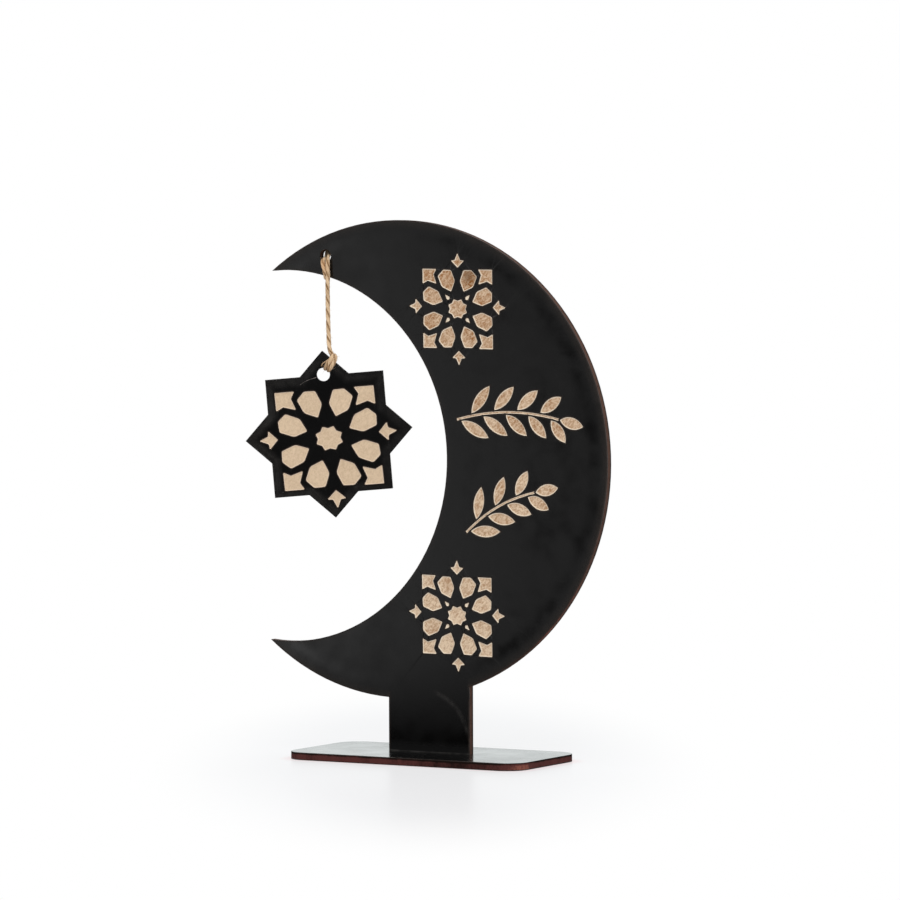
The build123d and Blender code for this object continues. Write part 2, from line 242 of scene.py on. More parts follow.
class TwineSettings(bpy.types.PropertyGroup):
    """Sizes and colours of the jute twine."""

    diameter: length_setting("Diameter", "Thickness of the twine", TWINE_HIGH.x - TWINE_LOW.x)
    pitch: length_setting("Pitch", "Length of one full turn of the plies", 10.0 * MM)
    knot_shrink: share_setting("Knot Shrink", "Thickness of the twine where a knot pulls it tight", 0.74)
    fibres_per_metre: bpy.props.IntProperty(
        name="Loose Fibres", description="Loose fibres along each metre of twine", default=1900,
    )
    pale: colour_setting("Pale Fibre", "Colour of the sunlit fibres", (0.80, 0.585, 0.37))
    # The dark fibre colour also paints the shade in the grooves between the plies.
    dark: colour_setting("Dark Fibre", "Colour of the fibres in the grooves", (0.27, 0.145, 0.055))
    # Painted shade: the tail that stands in shadow behind the panel's hole is darkened to near black.
    shaded: colour_setting("Shaded Fibre", "Colour of the fibres in the sooty hole", (0.045, 0.024, 0.009))
    tanned: colour_setting("Tanned Fibre", "Colour of the hitch below the panel's hole", (0.60, 0.32, 0.14))
    # Painted shade on the end of the loop beside the star's hole.
    star_hole_shade: colour_setting("Brown Fibre", "Colour of the end beside the star's hole", (0.19, 0.105, 0.045))
    stray: colour_setting("Stray Fibre", "Colour of the fibre that lies on the star", (0.21, 0.18, 0.165))
    stray_dark: colour_setting("Stray Fibre Patches", "Darker patches of that fibre", (0.09, 0.078, 0.068))


class LaminateSettings(bpy.types.PropertyGroup):
    """Colours and gloss of the black laminate."""

    skin: colour_setting("Skin", "Colour of the clean laminate", (0.0019, 0.0018, 0.0018))
    residue: colour_setting("Smoke Residue", "Brown film beside the cut edges", (0.017, 0.0125, 0.0095))
    star_residue: colour_setting("Star Residue", "Film on the star's border", (0.0175, 0.0158, 0.0145))
    singe: colour_setting("Singe", "Brown of the laminate along a cut edge", (0.03, 0.017, 0.012))
    # The scuff colour also paints a highlight line along the stem's foot.
    scuff_and_highlight: colour_setting("Scuff And Highlight", "Colour of fine scuffs and dust", (0.13, 0.12, 0.11))
    roughness: share_setting("Roughness", "Roughness of the upright laminate", 0.17)
    base_roughness: share_setting("Base Roughness", "Roughness of the base's laminate", 0.2)
    edge_round: length_setting("Edge Rounding", "Width of the rounding on the cut edges", 0.06 * MM)


class CoreSettings(bpy.types.PropertyGroup):
    """Colours of the fibreboard's cut edges."""

    panel_fibre: colour_setting("Panel Fibre", "Middle of the upright cut edges", (0.092, 0.049, 0.036))
    base_fibre: colour_setting("Base Fibre", "Middle of the base's cut edge", (0.09, 0.029, 0.0255))
    bare: colour_setting("Bare Fibre", "Colour of a cut edge that is not burnt at all", (0.24, 0.085, 0.06))
    char: colour_setting("Char", "Colour of the board where the cut burnt it", (0.012, 0.0055, 0.004))


class EngravingSettings(bpy.types.PropertyGroup):
    """Colours and sizes of the engraved cells."""

    rim_width: length_setting("Rim Width", "Width of the sloping rim of a panel cell", 0.55 * MM)
    star_rim_width: length_setting("Star Rim Width", "Width of the rim of a star cell", 0.42 * MM)
    halo_width: length_setting("Halo Width", "Width of the scorched line round each cell", 0.6 * MM)
    scorch: colour_setting("Scorch", "Colour of the scorched line", (0.022, 0.0095, 0.0035))
    patch_tone: colour_setting("Stain", "Colour of the scorched patch on one petal", (0.10, 0.045, 0.012))
    panel_tan: colour_setting("Panel Tan", "Colour of a panel cell's floor", (0.76, 0.59, 0.412))
    panel_brown: colour_setting("Panel Brown", "Burnt mottles in a panel cell", (0.27, 0.09, 0.003))
    panel_rim: colour_setting("Panel Rim", "Colour of a panel cell's pale rim", (0.82, 0.71, 0.555))
    star_tan: colour_setting("Star Tan", "Colour of a star cell's floor", (0.70, 0.535, 0.362))
    star_brown: colour_setting("Star Brown", "Faint lines in a star cell", (0.42, 0.285, 0.17))
    star_rim: colour_setting("Star Rim", "Colour of a star cell's pale rim", (0.74, 0.60, 0.46))


class StudioSettings(bpy.types.PropertyGroup):
    """Light levels of the studio."""

    soft_light: level_setting("Soft Light", "Level of the light from all round", 0.8)
    dim_side: level_setting("Dim Side", "Level of the room in front, as the laminate mirrors it", 0.08)
    glow: level_setting("Glow", "Level of the bright wall that the laminate mirrors", 1.15)
    key_power: level_setting("Key Power", "Power of the soft light at the front right", 15.4, "POWER")
    top_power: level_setting("Top Power", "Power of the light overhead", 4.0, "POWER")
    # The floor shade mixes in grey paper round the ornament: real shade, and partly painted shade.
    floor_shade: share_setting("Floor Shade", "Share of real shade on the white floor", 0.35)


# Shader building

class Graph:
    """Adds nodes to a tree and feeds their inputs in one call."""

    def __init__(self, tree):
        self.tree = tree
        tree.nodes.clear()

    def add(self, kind, values=None, **settings):
        """A new node with its settings, whose inputs take values or other sockets."""
        made = self.tree.nodes.new(kind)
        for key, value in settings.items():
            setattr(made, key, value)
        for key, value in (values or {}).items():
            self.feed(made.inputs[key], value)
        return made

    def feed(self, socket, value):
        """Links a socket to the input, or sets the input's own value."""
        if isinstance(value, bpy.types.NodeSocket):
            self.tree.links.new(value, socket)
        else:
            socket.default_value = value

    def math(self, operation, first, second=0.0, clamp=False):
        """The result of one sum."""
        values = {0: first, 1: second}
        return self.add("ShaderNodeMath", values, operation=operation, use_clamp=clamp).outputs[0]

    def plus(self, first, second, clamp=False):
        """Two values added."""
        return self.math("ADD", first, second, clamp)

    def minus(self, first, second):
        """The second value taken from the first."""
        return self.math("SUBTRACT", first, second)

    def times(self, first, second):
        """Two values multiplied."""
        return self.math("MULTIPLY", first, second)

    def most(self, first, second, clamp=False):
        """The greater of two values."""
        return self.math("MAXIMUM", first, second, clamp)

    def size(self, value):
        """A value without its sign."""
        return self.math("ABSOLUTE", value)

    def vector(self, operation, first, second, result="Vector"):
        """The result of one vector sum."""
        values = {0: first, 1: second}
        return self.add("ShaderNodeVectorMath", values, operation=operation).outputs[result]

    def length(self, vector):
        """How long a vector is."""
        return self.vector("LENGTH", vector, (0.0, 0.0, 0.0), "Value")

    def gap(self, place, mark):
        """How far a place is from a mark."""
        return self.vector("DISTANCE", place, tuple(mark), "Value")

    def split(self, vector):
        """The three parts of a vector."""
        return self.add("ShaderNodeSeparateXYZ", {0: vector}).outputs

    def joined(self, x, y=0.0, z=0.0):
        """A vector from its three parts."""
        return self.add("ShaderNodeCombineXYZ", {0: x, 1: y, 2: z}).outputs[0]

    def scaled(self, vector, factors):
        """A vector times three factors."""
        return self.vector("MULTIPLY", vector, factors)

    def along(self, vector, axis):
        """How far a vector reaches along an axis."""
        return self.vector("DOT_PRODUCT", vector, tuple(axis), "Value")

    def mix(self, share, first, second):
        """A colour between two colours."""
        values = {0: share, 6: first, 7: second}
        return self.add("ShaderNodeMix", values, data_type="RGBA").outputs[2]

    def noise(self, vector, scale, detail=3.0, roughness=0.55):
        """Cloudy noise between 0 and 1."""
        values = {"Vector": vector, "Scale": scale, "Detail": detail, "Roughness": roughness}
        return self.add("ShaderNodeTexNoise", values).outputs[0]

    def span(self, value, low, high, to_low=0.0, to_high=1.0):
        """A value moved smoothly from one span to another."""
        values = {0: value, 1: low, 2: high, 3: to_low, 4: to_high}
        return self.add("ShaderNodeMapRange", values, interpolation_type="SMOOTHSTEP").outputs[0]

    def fade(self, value, low, high):
        """1 up to the low end of a span, falling smoothly to 0 at its high end."""
        return self.span(value, low, high, 1.0, 0.0)

    def near(self, distance, reach):
        """1 at a distance of nothing, fading to 0 at a reach."""
        return self.fade(self.size(distance), 0.0, reach)

    def patch(self, place, mark, reach, share):
        """A soft round patch about a mark."""
        return self.times(self.near(self.gap(place, mark), reach), share)

    def millimetres(self):
        """The place on the piece at rest, in millimetres."""
        place = self.add("ShaderNodeTexCoord").outputs["Object"]
        return self.scaled(place, (1 / MM, 1 / MM, 1 / MM))

    def group(self, tree, values):
        """A shared effect with its own values."""
        made = self.add("ShaderNodeGroup", node_tree=tree)
        for key, value in values.items():
            self.feed(made.inputs[key], value)
        return made.outputs


GIVEN = {"Colour": "NodeSocketColor", "Roughness": "NodeSocketFloat", "Height": "NodeSocketFloat"}


def new_effect(name, place, values, colours):
    """An empty shader group that takes a place, values and colours, and its graph and two ends."""
    tree = bpy.data.node_groups.new(name, "ShaderNodeTree")
    graph = Graph(tree)
    for kind, labels in (("Vector", [place]), ("Float", values), ("Color", colours)):
        for label in labels:
            tree.interface.new_socket(label, in_out="INPUT", socket_type="NodeSocket" + kind)
    for label, kind in GIVEN.items():
        tree.interface.new_socket(label, in_out="OUTPUT", socket_type=kind)
    return graph, graph.add("NodeGroupInput").outputs, graph.add("NodeGroupOutput").inputs


def give(graph, gives, colour, roughness, height):
    """Puts out what every shared effect gives."""
    for label, socket in zip(GIVEN, (colour, roughness, height)):
        graph.feed(gives[label], socket)


def effect(name, build):
    """A shared effect, built the first time that it is asked for."""
    return bpy.data.node_groups.get(name) or build(name)


def build_laminate_skin(name):
    """Black laminate: smears, scuffs, a smoke film in a band, a singed edge, a rub mark, a painted highlight
    line and a matte foot.
    """
    values = ["Band", "Edge", "Rub", "Foot Highlight", "Matte", "Base Roughness"]
    graph, takes, gives = new_effect(name, "Place", values, ["Skin", "Residue", "Singe", "Scuff And Highlight"])
    place = takes["Place"]
    smear = graph.noise(place, 0.035, 4.0, 0.6)
    cloud = graph.noise(place, 0.16, 3.0, 0.5)
    film = graph.span(graph.noise(place, 0.3, 5.0, 0.65), 0.28, 0.7, 0.4, 1.0)
    film = graph.times(film, takes["Band"])
    long_way = graph.scaled(place, (0.05, 0.35, 0.6))
    other_way = graph.scaled(graph.vector("ADD", place, (31.0, 7.0, 13.0)), (0.7, 0.3, 0.07))
    first = graph.span(graph.noise(long_way, 5.0, 1.0), 0.71, 0.78)
    second = graph.span(graph.noise(other_way, 5.0, 1.0), 0.72, 0.79)
    worn = graph.span(smear, 0.45, 0.7)
    scuffs = graph.times(graph.most(first, second), worn)
    rubbed = graph.span(graph.noise(place, 0.4, 3.0), 0.3, 0.65, 0.03, 0.12)
    rubbed = graph.times(takes["Rub"], rubbed)
    marks = graph.most(graph.times(scuffs, 0.07), rubbed)
    # Painted highlight: the stem's foot line is mixed towards the scuff colour, which is paler than the skin.
    marks = graph.most(marks, takes["Foot Highlight"])
    charred = graph.span(graph.noise(place, 0.5, 3.0), 0.25, 0.65, 0.35, 1.0)
    singed = graph.times(takes["Edge"], charred)
    colour = graph.mix(film, takes["Skin"], takes["Residue"])
    colour = graph.mix(marks, colour, takes["Scuff And Highlight"])
    colour = graph.mix(singed, colour, takes["Singe"])
    rough = graph.plus(takes["Base Roughness"], graph.span(smear, 0.3, 0.7, -0.04, 0.05))
    rough = graph.plus(rough, graph.span(cloud, 0.3, 0.7, -0.025, 0.03))
    rough = graph.plus(rough, graph.times(film, 0.12))
    rough = graph.plus(rough, graph.times(marks, 0.8))
    rough = graph.plus(rough, graph.times(singed, 0.3))
    rough = graph.plus(rough, takes["Matte"], clamp=True)
    give(graph, gives, colour, rough, graph.noise(place, 2.2, 2.0))
    return graph.tree


def build_cut_edge(name):
    """Laser-cut fibreboard: fine stripes through the thickness, browner in the middle, burnt at the lips."""
    values = ["Across", "Palest", "Lip", "Edge Darkening"]
    graph, takes, gives = new_effect(name, "Stripes", values, ["Fibre", "Bare", "Char"])
    stripe = graph.noise(takes["Stripes"], 2.6, 3.0, 0.6)
    patch = graph.noise(takes["Stripes"], 0.22, 3.0, 0.6)
    lips = graph.size(graph.minus(takes["Across"], takes["Palest"]))
    burnt = graph.span(lips, takes["Lip"], graph.plus(takes["Lip"], 0.34))
    # Negative marks make the edge paler: painted light.
    burnt = graph.plus(burnt, takes["Edge Darkening"])
    burnt = graph.plus(burnt, graph.span(stripe, 0.35, 0.75, -0.15, 0.3))
    burnt = graph.plus(burnt, graph.span(patch, 0.35, 0.7, -0.2, 0.25))
    fibre = graph.mix(graph.fade(burnt, -1.0, -0.35), takes["Fibre"], takes["Bare"])
    burnt = graph.most(burnt, 0.0, clamp=True)
    colour = graph.mix(burnt, fibre, takes["Char"])
    give(graph, gives, colour, graph.span(stripe, 0.3, 0.7, 0.55, 0.8), stripe)
    return graph.tree


def build_engraved_board(name):
    """An engraved floor: burnt mottles, a tint for each cell, a pale rim and a scorched line outside."""
    values = ["Rim", "Tint", "Mottle", "Grain", "Skin Roughness"]
    colours = ["Tan", "Brown", "Rim Colour", "Scorch", "Skin"]
    graph, takes, gives = new_effect(name, "Place", values, colours)
    place = takes["Place"]
    swirl = graph.noise(place, 0.35, 2.0)
    bent = graph.joined(graph.times(swirl, 3.0), 0.0, graph.times(swirl, 5.0))
    grain = graph.vector("ADD", graph.scaled(place, (0.75, 1.0, 1.0)), bent)
    fine = graph.span(graph.noise(grain, 1.4, 4.0, 0.7), 0.36, 0.66)
    broad = graph.span(graph.noise(place, 0.17, 2.0, 0.5), 0.45, 0.75)
    burnt = graph.times(fine, takes["Grain"])
    burnt = graph.plus(burnt, graph.times(broad, takes["Mottle"]))
    burnt = graph.plus(burnt, takes["Tint"], clamp=True)
    colour = graph.mix(burnt, takes["Tan"], takes["Brown"])
    uneven = graph.span(graph.noise(place, 0.8, 2.0), 0.25, 0.6, 0.6, 1.0)
    rim = graph.times(graph.span(takes["Rim"], 0.15, 0.65), uneven)
    colour = graph.mix(rim, colour, takes["Rim Colour"])
    colour = graph.mix(graph.span(takes["Rim"], 1.1, 1.9), colour, takes["Scorch"])
    colour = graph.mix(graph.span(takes["Rim"], 2.3, 3.0), colour, takes["Skin"])
    smooth = graph.span(takes["Rim"], 2.2, 2.8, 0.85, takes["Skin Roughness"])
    give(graph, gives, colour, smooth, graph.noise(graph.scaled(place, (0.5, 1.0, 4.0)), 2.4, 2.0))
    return graph.tree


def new_material(name):
    """A material with an empty graph."""
    material = bpy.data.materials.new(name)
    material.use_nodes = True
    return material, Graph(material.node_tree)


def finish_material(graph, colour, roughness, height, bump, fixed):
    """The surface of a material: colour, roughness and bump from its nodes, and fixed values."""
    surface = graph.add("ShaderNodeBsdfPrincipled", {"Base Color": colour, "Roughness": roughness})
    if height is not None:
        values = {"Height": height, "Strength": bump[0], "Distance": bump[1]}
        graph.feed(surface.inputs["Normal"], graph.add("ShaderNodeBump", values).outputs[0])
    for key, value in fixed.items():
        surface.inputs[key].default_value = value
    graph.add("ShaderNodeOutputMaterial", {"Surface": surface.outputs[0]})


def panel_marks(graph, place):
    """The panel's smoke and singed edges, its rub mark, and its stem's matte foot with a paler line along it,
    a painted highlight.

    A band inside the outer rim is a little glossier than the rest.
    """
    parts = graph.split(place)
    flat = graph.scaled(graph.vector("SUBTRACT", place, (CRESCENT_X, 0.0, CRESCENT_Z)), (1.0, 0.0, 1.0))
    outer = graph.length(flat)
    from_hollow = graph.vector("ADD", flat, (HOLLOW_OFFSET, 0.0, -HOLLOW_RISE))
    hollow = graph.length(from_hollow)
    to_rim = graph.minus(outer, OUTER_RADIUS)
    to_hollow = graph.minus(hollow, HOLLOW_RADIUS)
    to_stem = graph.minus(graph.size(parts[0]), STEM_HALF)
    over_stem = graph.span(parts[2], STEM_TOP + 10, STEM_TOP + 14)
    free_rim = graph.most(over_stem, graph.span(to_stem, -1.2, 0.0))
    smoke = graph.times(graph.near(to_rim, 4.0), graph.times(free_rim, 0.7))
    smoke = graph.most(smoke, graph.times(graph.near(to_hollow, 2.5), 0.3))
    clean = graph.near(graph.plus(to_rim, CLEAN_INSET), CLEAN_REACH)
    clean = graph.times(clean, graph.times(free_rim, 0.05))
    foot = graph.span(parts[2], STEM_FOOT, STEM_FOOT + 5.0, 0.3, 0.0)
    low = graph.fade(parts[2], STEM_TOP - 4, STEM_TOP)
    edge = graph.times(graph.near(to_hollow, 0.8), 0.5)
    edge = graph.most(graph.times(graph.near(to_rim, 0.9), free_rim), edge)
    edge = graph.most(edge, graph.times(graph.near(to_stem, 0.9), low))
    from_rub = graph.scaled(graph.vector("SUBTRACT", place, RUB_CENTRE), (1.0, 0.0, 1.0))
    rub_reach = graph.length(from_rub)
    rub = graph.near(graph.minus(rub_reach, RUB_RADIUS), RUB_WIDTH)
    rub = graph.times(rub, graph.span(parts[0], 1.0, 5.0))
    rub = graph.times(rub, graph.span(parts[2], 8.0, 14.0))
    # Painted highlight: a thin, patchy paler line along the stem's foot where it meets the base.
    line = graph.near(graph.minus(parts[2], STEM_FOOT + 0.2), 0.35)
    patchy = graph.span(graph.noise(place, 0.35, 3.0), 0.3, 0.65, 0.06, 0.34)
    return {
        "Band": smoke, "Edge": edge, "Rub": rub, "Foot Highlight": graph.times(line, patchy),
        "Matte": graph.minus(foot, clean),
    }


def star_marks(graph, place):
    """The star's smoke: a border strip and the points outside the rosette."""
    from_centre = graph.vector("SUBTRACT", place, tuple(STAR_CENTRE / MM))
    across = graph.size(graph.along(from_centre, STAR_ACROSS))
    up = graph.size(graph.along(from_centre, STAR_UP))
    square = graph.most(across, up)
    diamond = graph.times(graph.plus(across, up), math.sqrt(0.5))
    inside = graph.minus(STAR_HALF_SIDE, graph.math("MINIMUM", square, diamond))
    drift = graph.scaled(from_centre, (0.04, 0.04, 0.04))
    inwards = graph.joined(inside)
    lines = graph.noise(graph.vector("ADD", drift, inwards), 1.7, 3.0)
    band = graph.fade(inside, 1.6, 4.6)
    band = graph.times(band, graph.span(lines, 0.3, 0.65, 0.65, 1.0))
    leftward = graph.span(graph.along(from_centre, STAR_ACROSS), -26.0, 26.0, 1.15, 0.65)
    return {"Band": graph.times(band, leftward)}


def base_marks(graph, place):
    """The base's smoke and singeing, along its long edges."""
    parts = graph.split(place)
    depth = graph.minus(graph.size(parts[1]), BASE_HIGH.y / MM)
    return {"Band": graph.times(graph.near(depth, 3.0), 0.5), "Edge": graph.near(depth, 1.3)}


def laminate_material(name, marks, residue, roughness, fixed):
    """Black laminate, with smoke and wear where its marks say."""
    settings = bpy.context.scene.ornament_laminate
    material, graph = new_material(name)
    place = graph.millimetres()
    skin = graph.group(effect("laminate_skin", build_laminate_skin), {
        "Place": place, "Skin": settings.skin, "Residue": residue, "Singe": settings.singe,
        "Scuff And Highlight": settings.scuff_and_highlight, "Base Roughness": roughness, **marks(graph, place),
    })
    finish_material(graph, skin["Colour"], skin["Roughness"], skin["Height"], (0.04, 0.05 * MM), fixed)
    return material


def core_material(name, front, middle, half, squeeze, fibre, palest, lip, marks):
    """The cut edge of a board, with stripes that run through its thickness, and darker and paler marks; the
    paler ones are painted light.
    """
    settings = bpy.context.scene.ornament_core
    material, graph = new_material(name)
    place = graph.millimetres()
    across = graph.along(graph.vector("SUBTRACT", place, tuple(middle)), front)
    across = graph.span(across, -half, half)
    depth = graph.add("ShaderNodeVectorMath", {0: tuple(front), 3: across}, operation="SCALE").outputs[0]
    stripes = graph.vector("SUBTRACT", graph.scaled(place, squeeze), depth)
    edge_darkening = 0.0
    for mark in marks:
        edge_darkening = graph.plus(graph.patch(place, *mark), edge_darkening)
    edge = graph.group(effect("cut_edge", build_cut_edge), {
        "Stripes": stripes, "Across": across, "Palest": palest, "Lip": lip, "Edge Darkening": edge_darkening,
        "Fibre": fibre, "Bare": settings.bare, "Char": settings.char,
    })
    fixed = {"Specular IOR Level": 0.05}
    finish_material(graph, edge["Colour"], edge["Roughness"], edge["Height"], (0.35, 0.08 * MM), fixed)
    return material


def engraving_material(name, tan, star_hole_shade, rim, grain, mottle, stains):
    """The floor, rim and scorched line of the engraved cells, with scorched patches on some."""
    settings = bpy.context.scene.ornament_engraving
    laminate = bpy.context.scene.ornament_laminate
    material, graph = new_material(name)
    rim_share = graph.add("ShaderNodeAttribute", attribute_name="rim").outputs["Fac"]
    tint = graph.add("ShaderNodeAttribute", attribute_name="tint").outputs["Fac"]
    place = graph.millimetres()
    floor = graph.group(effect("engraved_board", build_engraved_board), {
        "Place": place, "Rim": rim_share, "Tint": tint, "Mottle": mottle,
        "Grain": grain, "Tan": tan, "Brown": star_hole_shade, "Rim Colour": rim,
        "Scorch": settings.scorch, "Skin": laminate.skin, "Skin Roughness": laminate.roughness,
    })
    colour = floor["Colour"]
    on_floor = graph.fade(rim_share, 0.3, 1.0)
    for patch_tone in stains:
        colour = graph.mix(graph.times(graph.patch(place, *patch_tone), on_floor), colour, settings.patch_tone)
    finish_material(graph, colour, floor["Roughness"], floor["Height"], (0.3, 0.06 * MM), {})
    return material


def twine_material():
    """Jute: fibre streaks along each ply, painted shade down in the grooves, a darker, more orange patch below
    the panel's hole, and painted shade on the tail behind that hole and on the end beside the star's hole.
    """
    settings = bpy.context.scene.ornament_twine
    material, graph = new_material("jute")
    lay = graph.add("ShaderNodeTexCoord").outputs["UV"]
    parts = graph.split(lay)
    streaks = graph.noise(graph.scaled(lay, (11.0, 0.9, 1.0)), 1.0, 4.0, 0.7)
    patches = graph.noise(graph.scaled(lay, (1.2, 0.5, 1.0)), 1.0, 2.0)
    off_crest = graph.size(graph.minus(parts[0], 0.5))
    # Painted shade: each ply is darker away from its crest, down in the grooves between the plies.
    groove_shade = graph.span(off_crest, 0.08, 0.37, 0.0, 0.62)
    shade = graph.plus(graph.span(streaks, 0.36, 0.66, 0.0, 0.6), groove_shade)
    shade = graph.plus(shade, graph.span(patches, 0.4, 0.7, -0.15, 0.25), clamp=True)
    colour = graph.mix(shade, settings.pale, settings.dark)
    place = graph.millimetres()
    # Patches on the twine: a darker, more orange one below the panel's hole, then painted shade behind that
    # hole and painted shade beside the star's hole.
    for middle, reach, share, patch_tone in (
        (HORN_HOLE + Vector((-0.6, -2.2, -4.2)), 4.2, 0.55, settings.tanned),
        (HORN_HOLE + Vector((-0.2, 1.6, 2.0)), 5.0, 0.95, settings.shaded),
        (rim_point(3.2, -1.7, 2.0) / MM, 3.0, 0.7, settings.star_hole_shade),
    ):
        colour = graph.mix(graph.patch(place, middle, reach, share), colour, patch_tone)
    fixed = {"Specular IOR Level": 0.25, "Sheen Weight": 0.15, "Sheen Roughness": 0.5}
    roughness = graph.span(streaks, 0.3, 0.7, 0.7, 0.9)
    finish_material(graph, colour, roughness, streaks, (0.5, 0.08 * MM), fixed)
    return material


def stray_material():
    """A dusty single fibre, uneven along its length."""
    material, graph = new_material("stray_fibre")
    patches = graph.noise(graph.millimetres(), 0.8, 2.0)
    settings = bpy.context.scene.ornament_twine
    colour = graph.mix(graph.span(patches, 0.35, 0.65), settings.stray, settings.stray_dark)
    finish_material(graph, colour, graph.span(patches, 0.3, 0.7, 0.6, 0.8), None, None, {})
    return material


def shared(name, build):
    """A material, built the first time that it is asked for."""
    return bpy.data.materials.get(name) or build()


def placed(name, data):
    """A new object in the scene."""
    made = bpy.data.objects.new(name, data)
    bpy.context.scene.collection.objects.link(made)
    return made


# Twine

def route_line(points):
    """Close-set points along the smooth line that a route's points steer."""
    curve = bpy.data.curves.new("route", "CURVE")
    curve.dimensions = "3D"
    curve.resolution_u = 36
    spline = curve.splines.new("NURBS")
    spline.points.add(len(points) - 1)
    for target, point in zip(spline.points, points):
        target.co = (*point, 1.0)
    spline.order_u = 3
    spline.use_endpoint_u = True
    holder = bpy.data.objects.new("route", curve)
    mesh = bpy.data.meshes.new_from_object(holder)
    line = [vertex.co.copy() for vertex in mesh.vertices]
    bpy.data.meshes.remove(mesh)
    bpy.data.objects.remove(holder)
    bpy.data.curves.remove(curve)
    return line


class Ring:
    """A place on a line: its point, direction, two sideways axes and distance from the start."""

    def __init__(self, point, direction, side, distance):
        self.point = point
        self.direction = direction
        self.side = side
        self.other = direction.cross(side)
        self.distance = distance


def rings_along(line):
    """The rings of a line, turned as little as possible from one to the next."""
    rings = []
    distance = 0.0
    side = None
    for index, point in enumerate(line):
        before = line[max(index - 1, 0)]
        after = line[min(index + 1, len(line) - 1)]
        direction = (after - before).normalized()
        if side is None:
            side = direction.orthogonal().normalized()
        else:
            distance += (point - line[index - 1]).length
            side = (side - direction * side.dot(direction)).normalized()
        rings.append(Ring(point, direction, side, distance))
    return rings


class Skein:
    """Gathers the points, faces and lay of twine before they become one mesh."""

    def __init__(self):
        self.points = []
        self.faces = []
        self.lay = []

    def tube(self, loops, lay):
        """A closed tube through loops of points, each with its lay."""
        start = len(self.points)
        count = len(loops[0])
        for loop, marks in zip(loops, lay):
            self.points += loop
            self.lay += marks
        for row in range(len(loops) - 1):
            first = start + row * count
            for step in range(count):
                following = (step + 1) % count
                self.faces.append((
                    first + step, first + following,
                    first + count + following, first + count + step,
                ))
        last = start + (len(loops) - 1) * count
        self.faces.append(tuple(start + step for step in reversed(range(count))))
        self.faces.append(tuple(last + step for step in range(count)))

    def piece(self, name, material=None):
        """The mesh object of all that was gathered."""
        mesh = bpy.data.meshes.new(name)
        mesh.from_pydata([tuple(point) for point in self.points], [], self.faces)
        layer = mesh.uv_layers.new(name="lay")
        for loop in mesh.loops:
            layer.data[loop.index].uv = self.lay[loop.vertex_index]
        for face in mesh.polygons:
            face.use_smooth = len(face.vertices) == 4
        mesh.materials.append(material or shared("jute", twine_material))
        made = placed(name, mesh)
        return made


PLIES = 2
PLY_SIDES = 22
PLY_RIDGES = 7
PLY_OFFSET = 0.45
PLY_DEPTH = 0.56
PLY_BREADTH = 0.86
PLY_WANDER = 0.1
PLY_SWELL = 0.14
PLY_ROUGHNESS = 0.06
RIDGE_RISE = 0.05
RIDGE_PITCH = 5.0 * MM
FIBRE_RADIUS = 0.03 * MM
FIBRE_LENGTH = 2.4 * MM
FIBRE_SIDES = 3
FIBRE_STEPS = 5
FRAY_FIBRES = 46
FRAY_LENGTH = 1.6 * MM
PINCH_REACH = 3.4 * MM
PINCH_DEPTH = 0.3
BOARD_HALF = 1.5 * MM
BOARD_FACE = 1.52 * MM
PRESS_START = 1.9 * MM


def girth_at(point):
    """The twine's share of its full thickness: less where a hole squeezes it."""
    gap = min((point - STAR_HOLE).length, (point - HORN_HOLE * MM).length) / PINCH_REACH
    return 1 - PINCH_DEPTH * max(1 - gap * gap, 0)


def pressed(point, ring, origin, front):
    """A twine point kept out of the board that its strand lies on."""
    lie = (ring.point - origin).dot(front)
    if abs(lie) < PRESS_START:
        return point
    face = math.copysign(BOARD_FACE, lie)
    depth = (point - origin).dot(front)
    if depth / face >= 1:
        return point
    return point + front * (face - depth)


def ply_frame(ring, ply, diameter, pitch):
    """The middle of a ply at a ring, its outward axis, its sideways axis and its direction."""
    uneven = PLY_WANDER * noise.noise((ring.distance * 130, 4.1, 0.2))
    turn = -2 * math.pi * (ring.distance / pitch + uneven + ply / PLIES)
    out = ring.side * math.cos(turn) + ring.other * math.sin(turn)
    offset = diameter / 2 * PLY_OFFSET
    lean = -2 * math.pi / pitch * offset
    round_way = ring.other * math.cos(turn) - ring.side * math.sin(turn)
    direction = (ring.direction + round_way * lean).normalized()
    return ring.point + out * offset, out, direction.cross(out), direction


def on_ply(out, side, angle, diameter):
    """The step from a ply's middle to its surface at an angle."""
    return (out * (math.cos(angle) * PLY_DEPTH) + side * (math.sin(angle) * PLY_BREADTH)) * (diameter / 2)


def ply_loop(ring, ply, diameter, pitch):
    """The outline of one ply at a ring, with its fibre ridges, and the lay of each point."""
    middle, out, side, _ = ply_frame(ring, ply, diameter, pitch)
    swell = 1 + PLY_SWELL * noise.noise((ring.distance * 330, ply * 7.3, 0.5))
    loop = []
    marks = []
    for step in range(PLY_SIDES):
        angle = 2 * math.pi * step / PLY_SIDES - math.pi
        ridge = PLY_RIDGES * (angle + 2 * math.pi * ring.distance / RIDGE_PITCH)
        rise = 1 + RIDGE_RISE * math.sin(ridge)
        spot = (math.cos(angle) * 2, math.sin(angle) * 2, ring.distance * 1500 + ply)
        rough = 1 + PLY_ROUGHNESS * noise.noise(spot)
        loop.append(middle + on_ply(out, side, angle, diameter * swell * rise * rough))
        marks.append((step / PLY_SIDES, ring.distance / (2.1 * diameter) + ply * 0.37))
    return loop, marks


def add_plies(skein, rings, diameter, pitch, board=None):
    """Twisted plies along rings, flattened where they lie on a board."""
    for ply in range(PLIES):
        loops = []
        lay = []
        for ring in rings:
            loop, marks = ply_loop(ring, ply, diameter * girth_at(ring.point), pitch)
            if board:
                loop = [pressed(point, ring, *board) for point in loop]
            loops.append(loop)
            lay.append(marks)
        skein.tube(loops, lay)


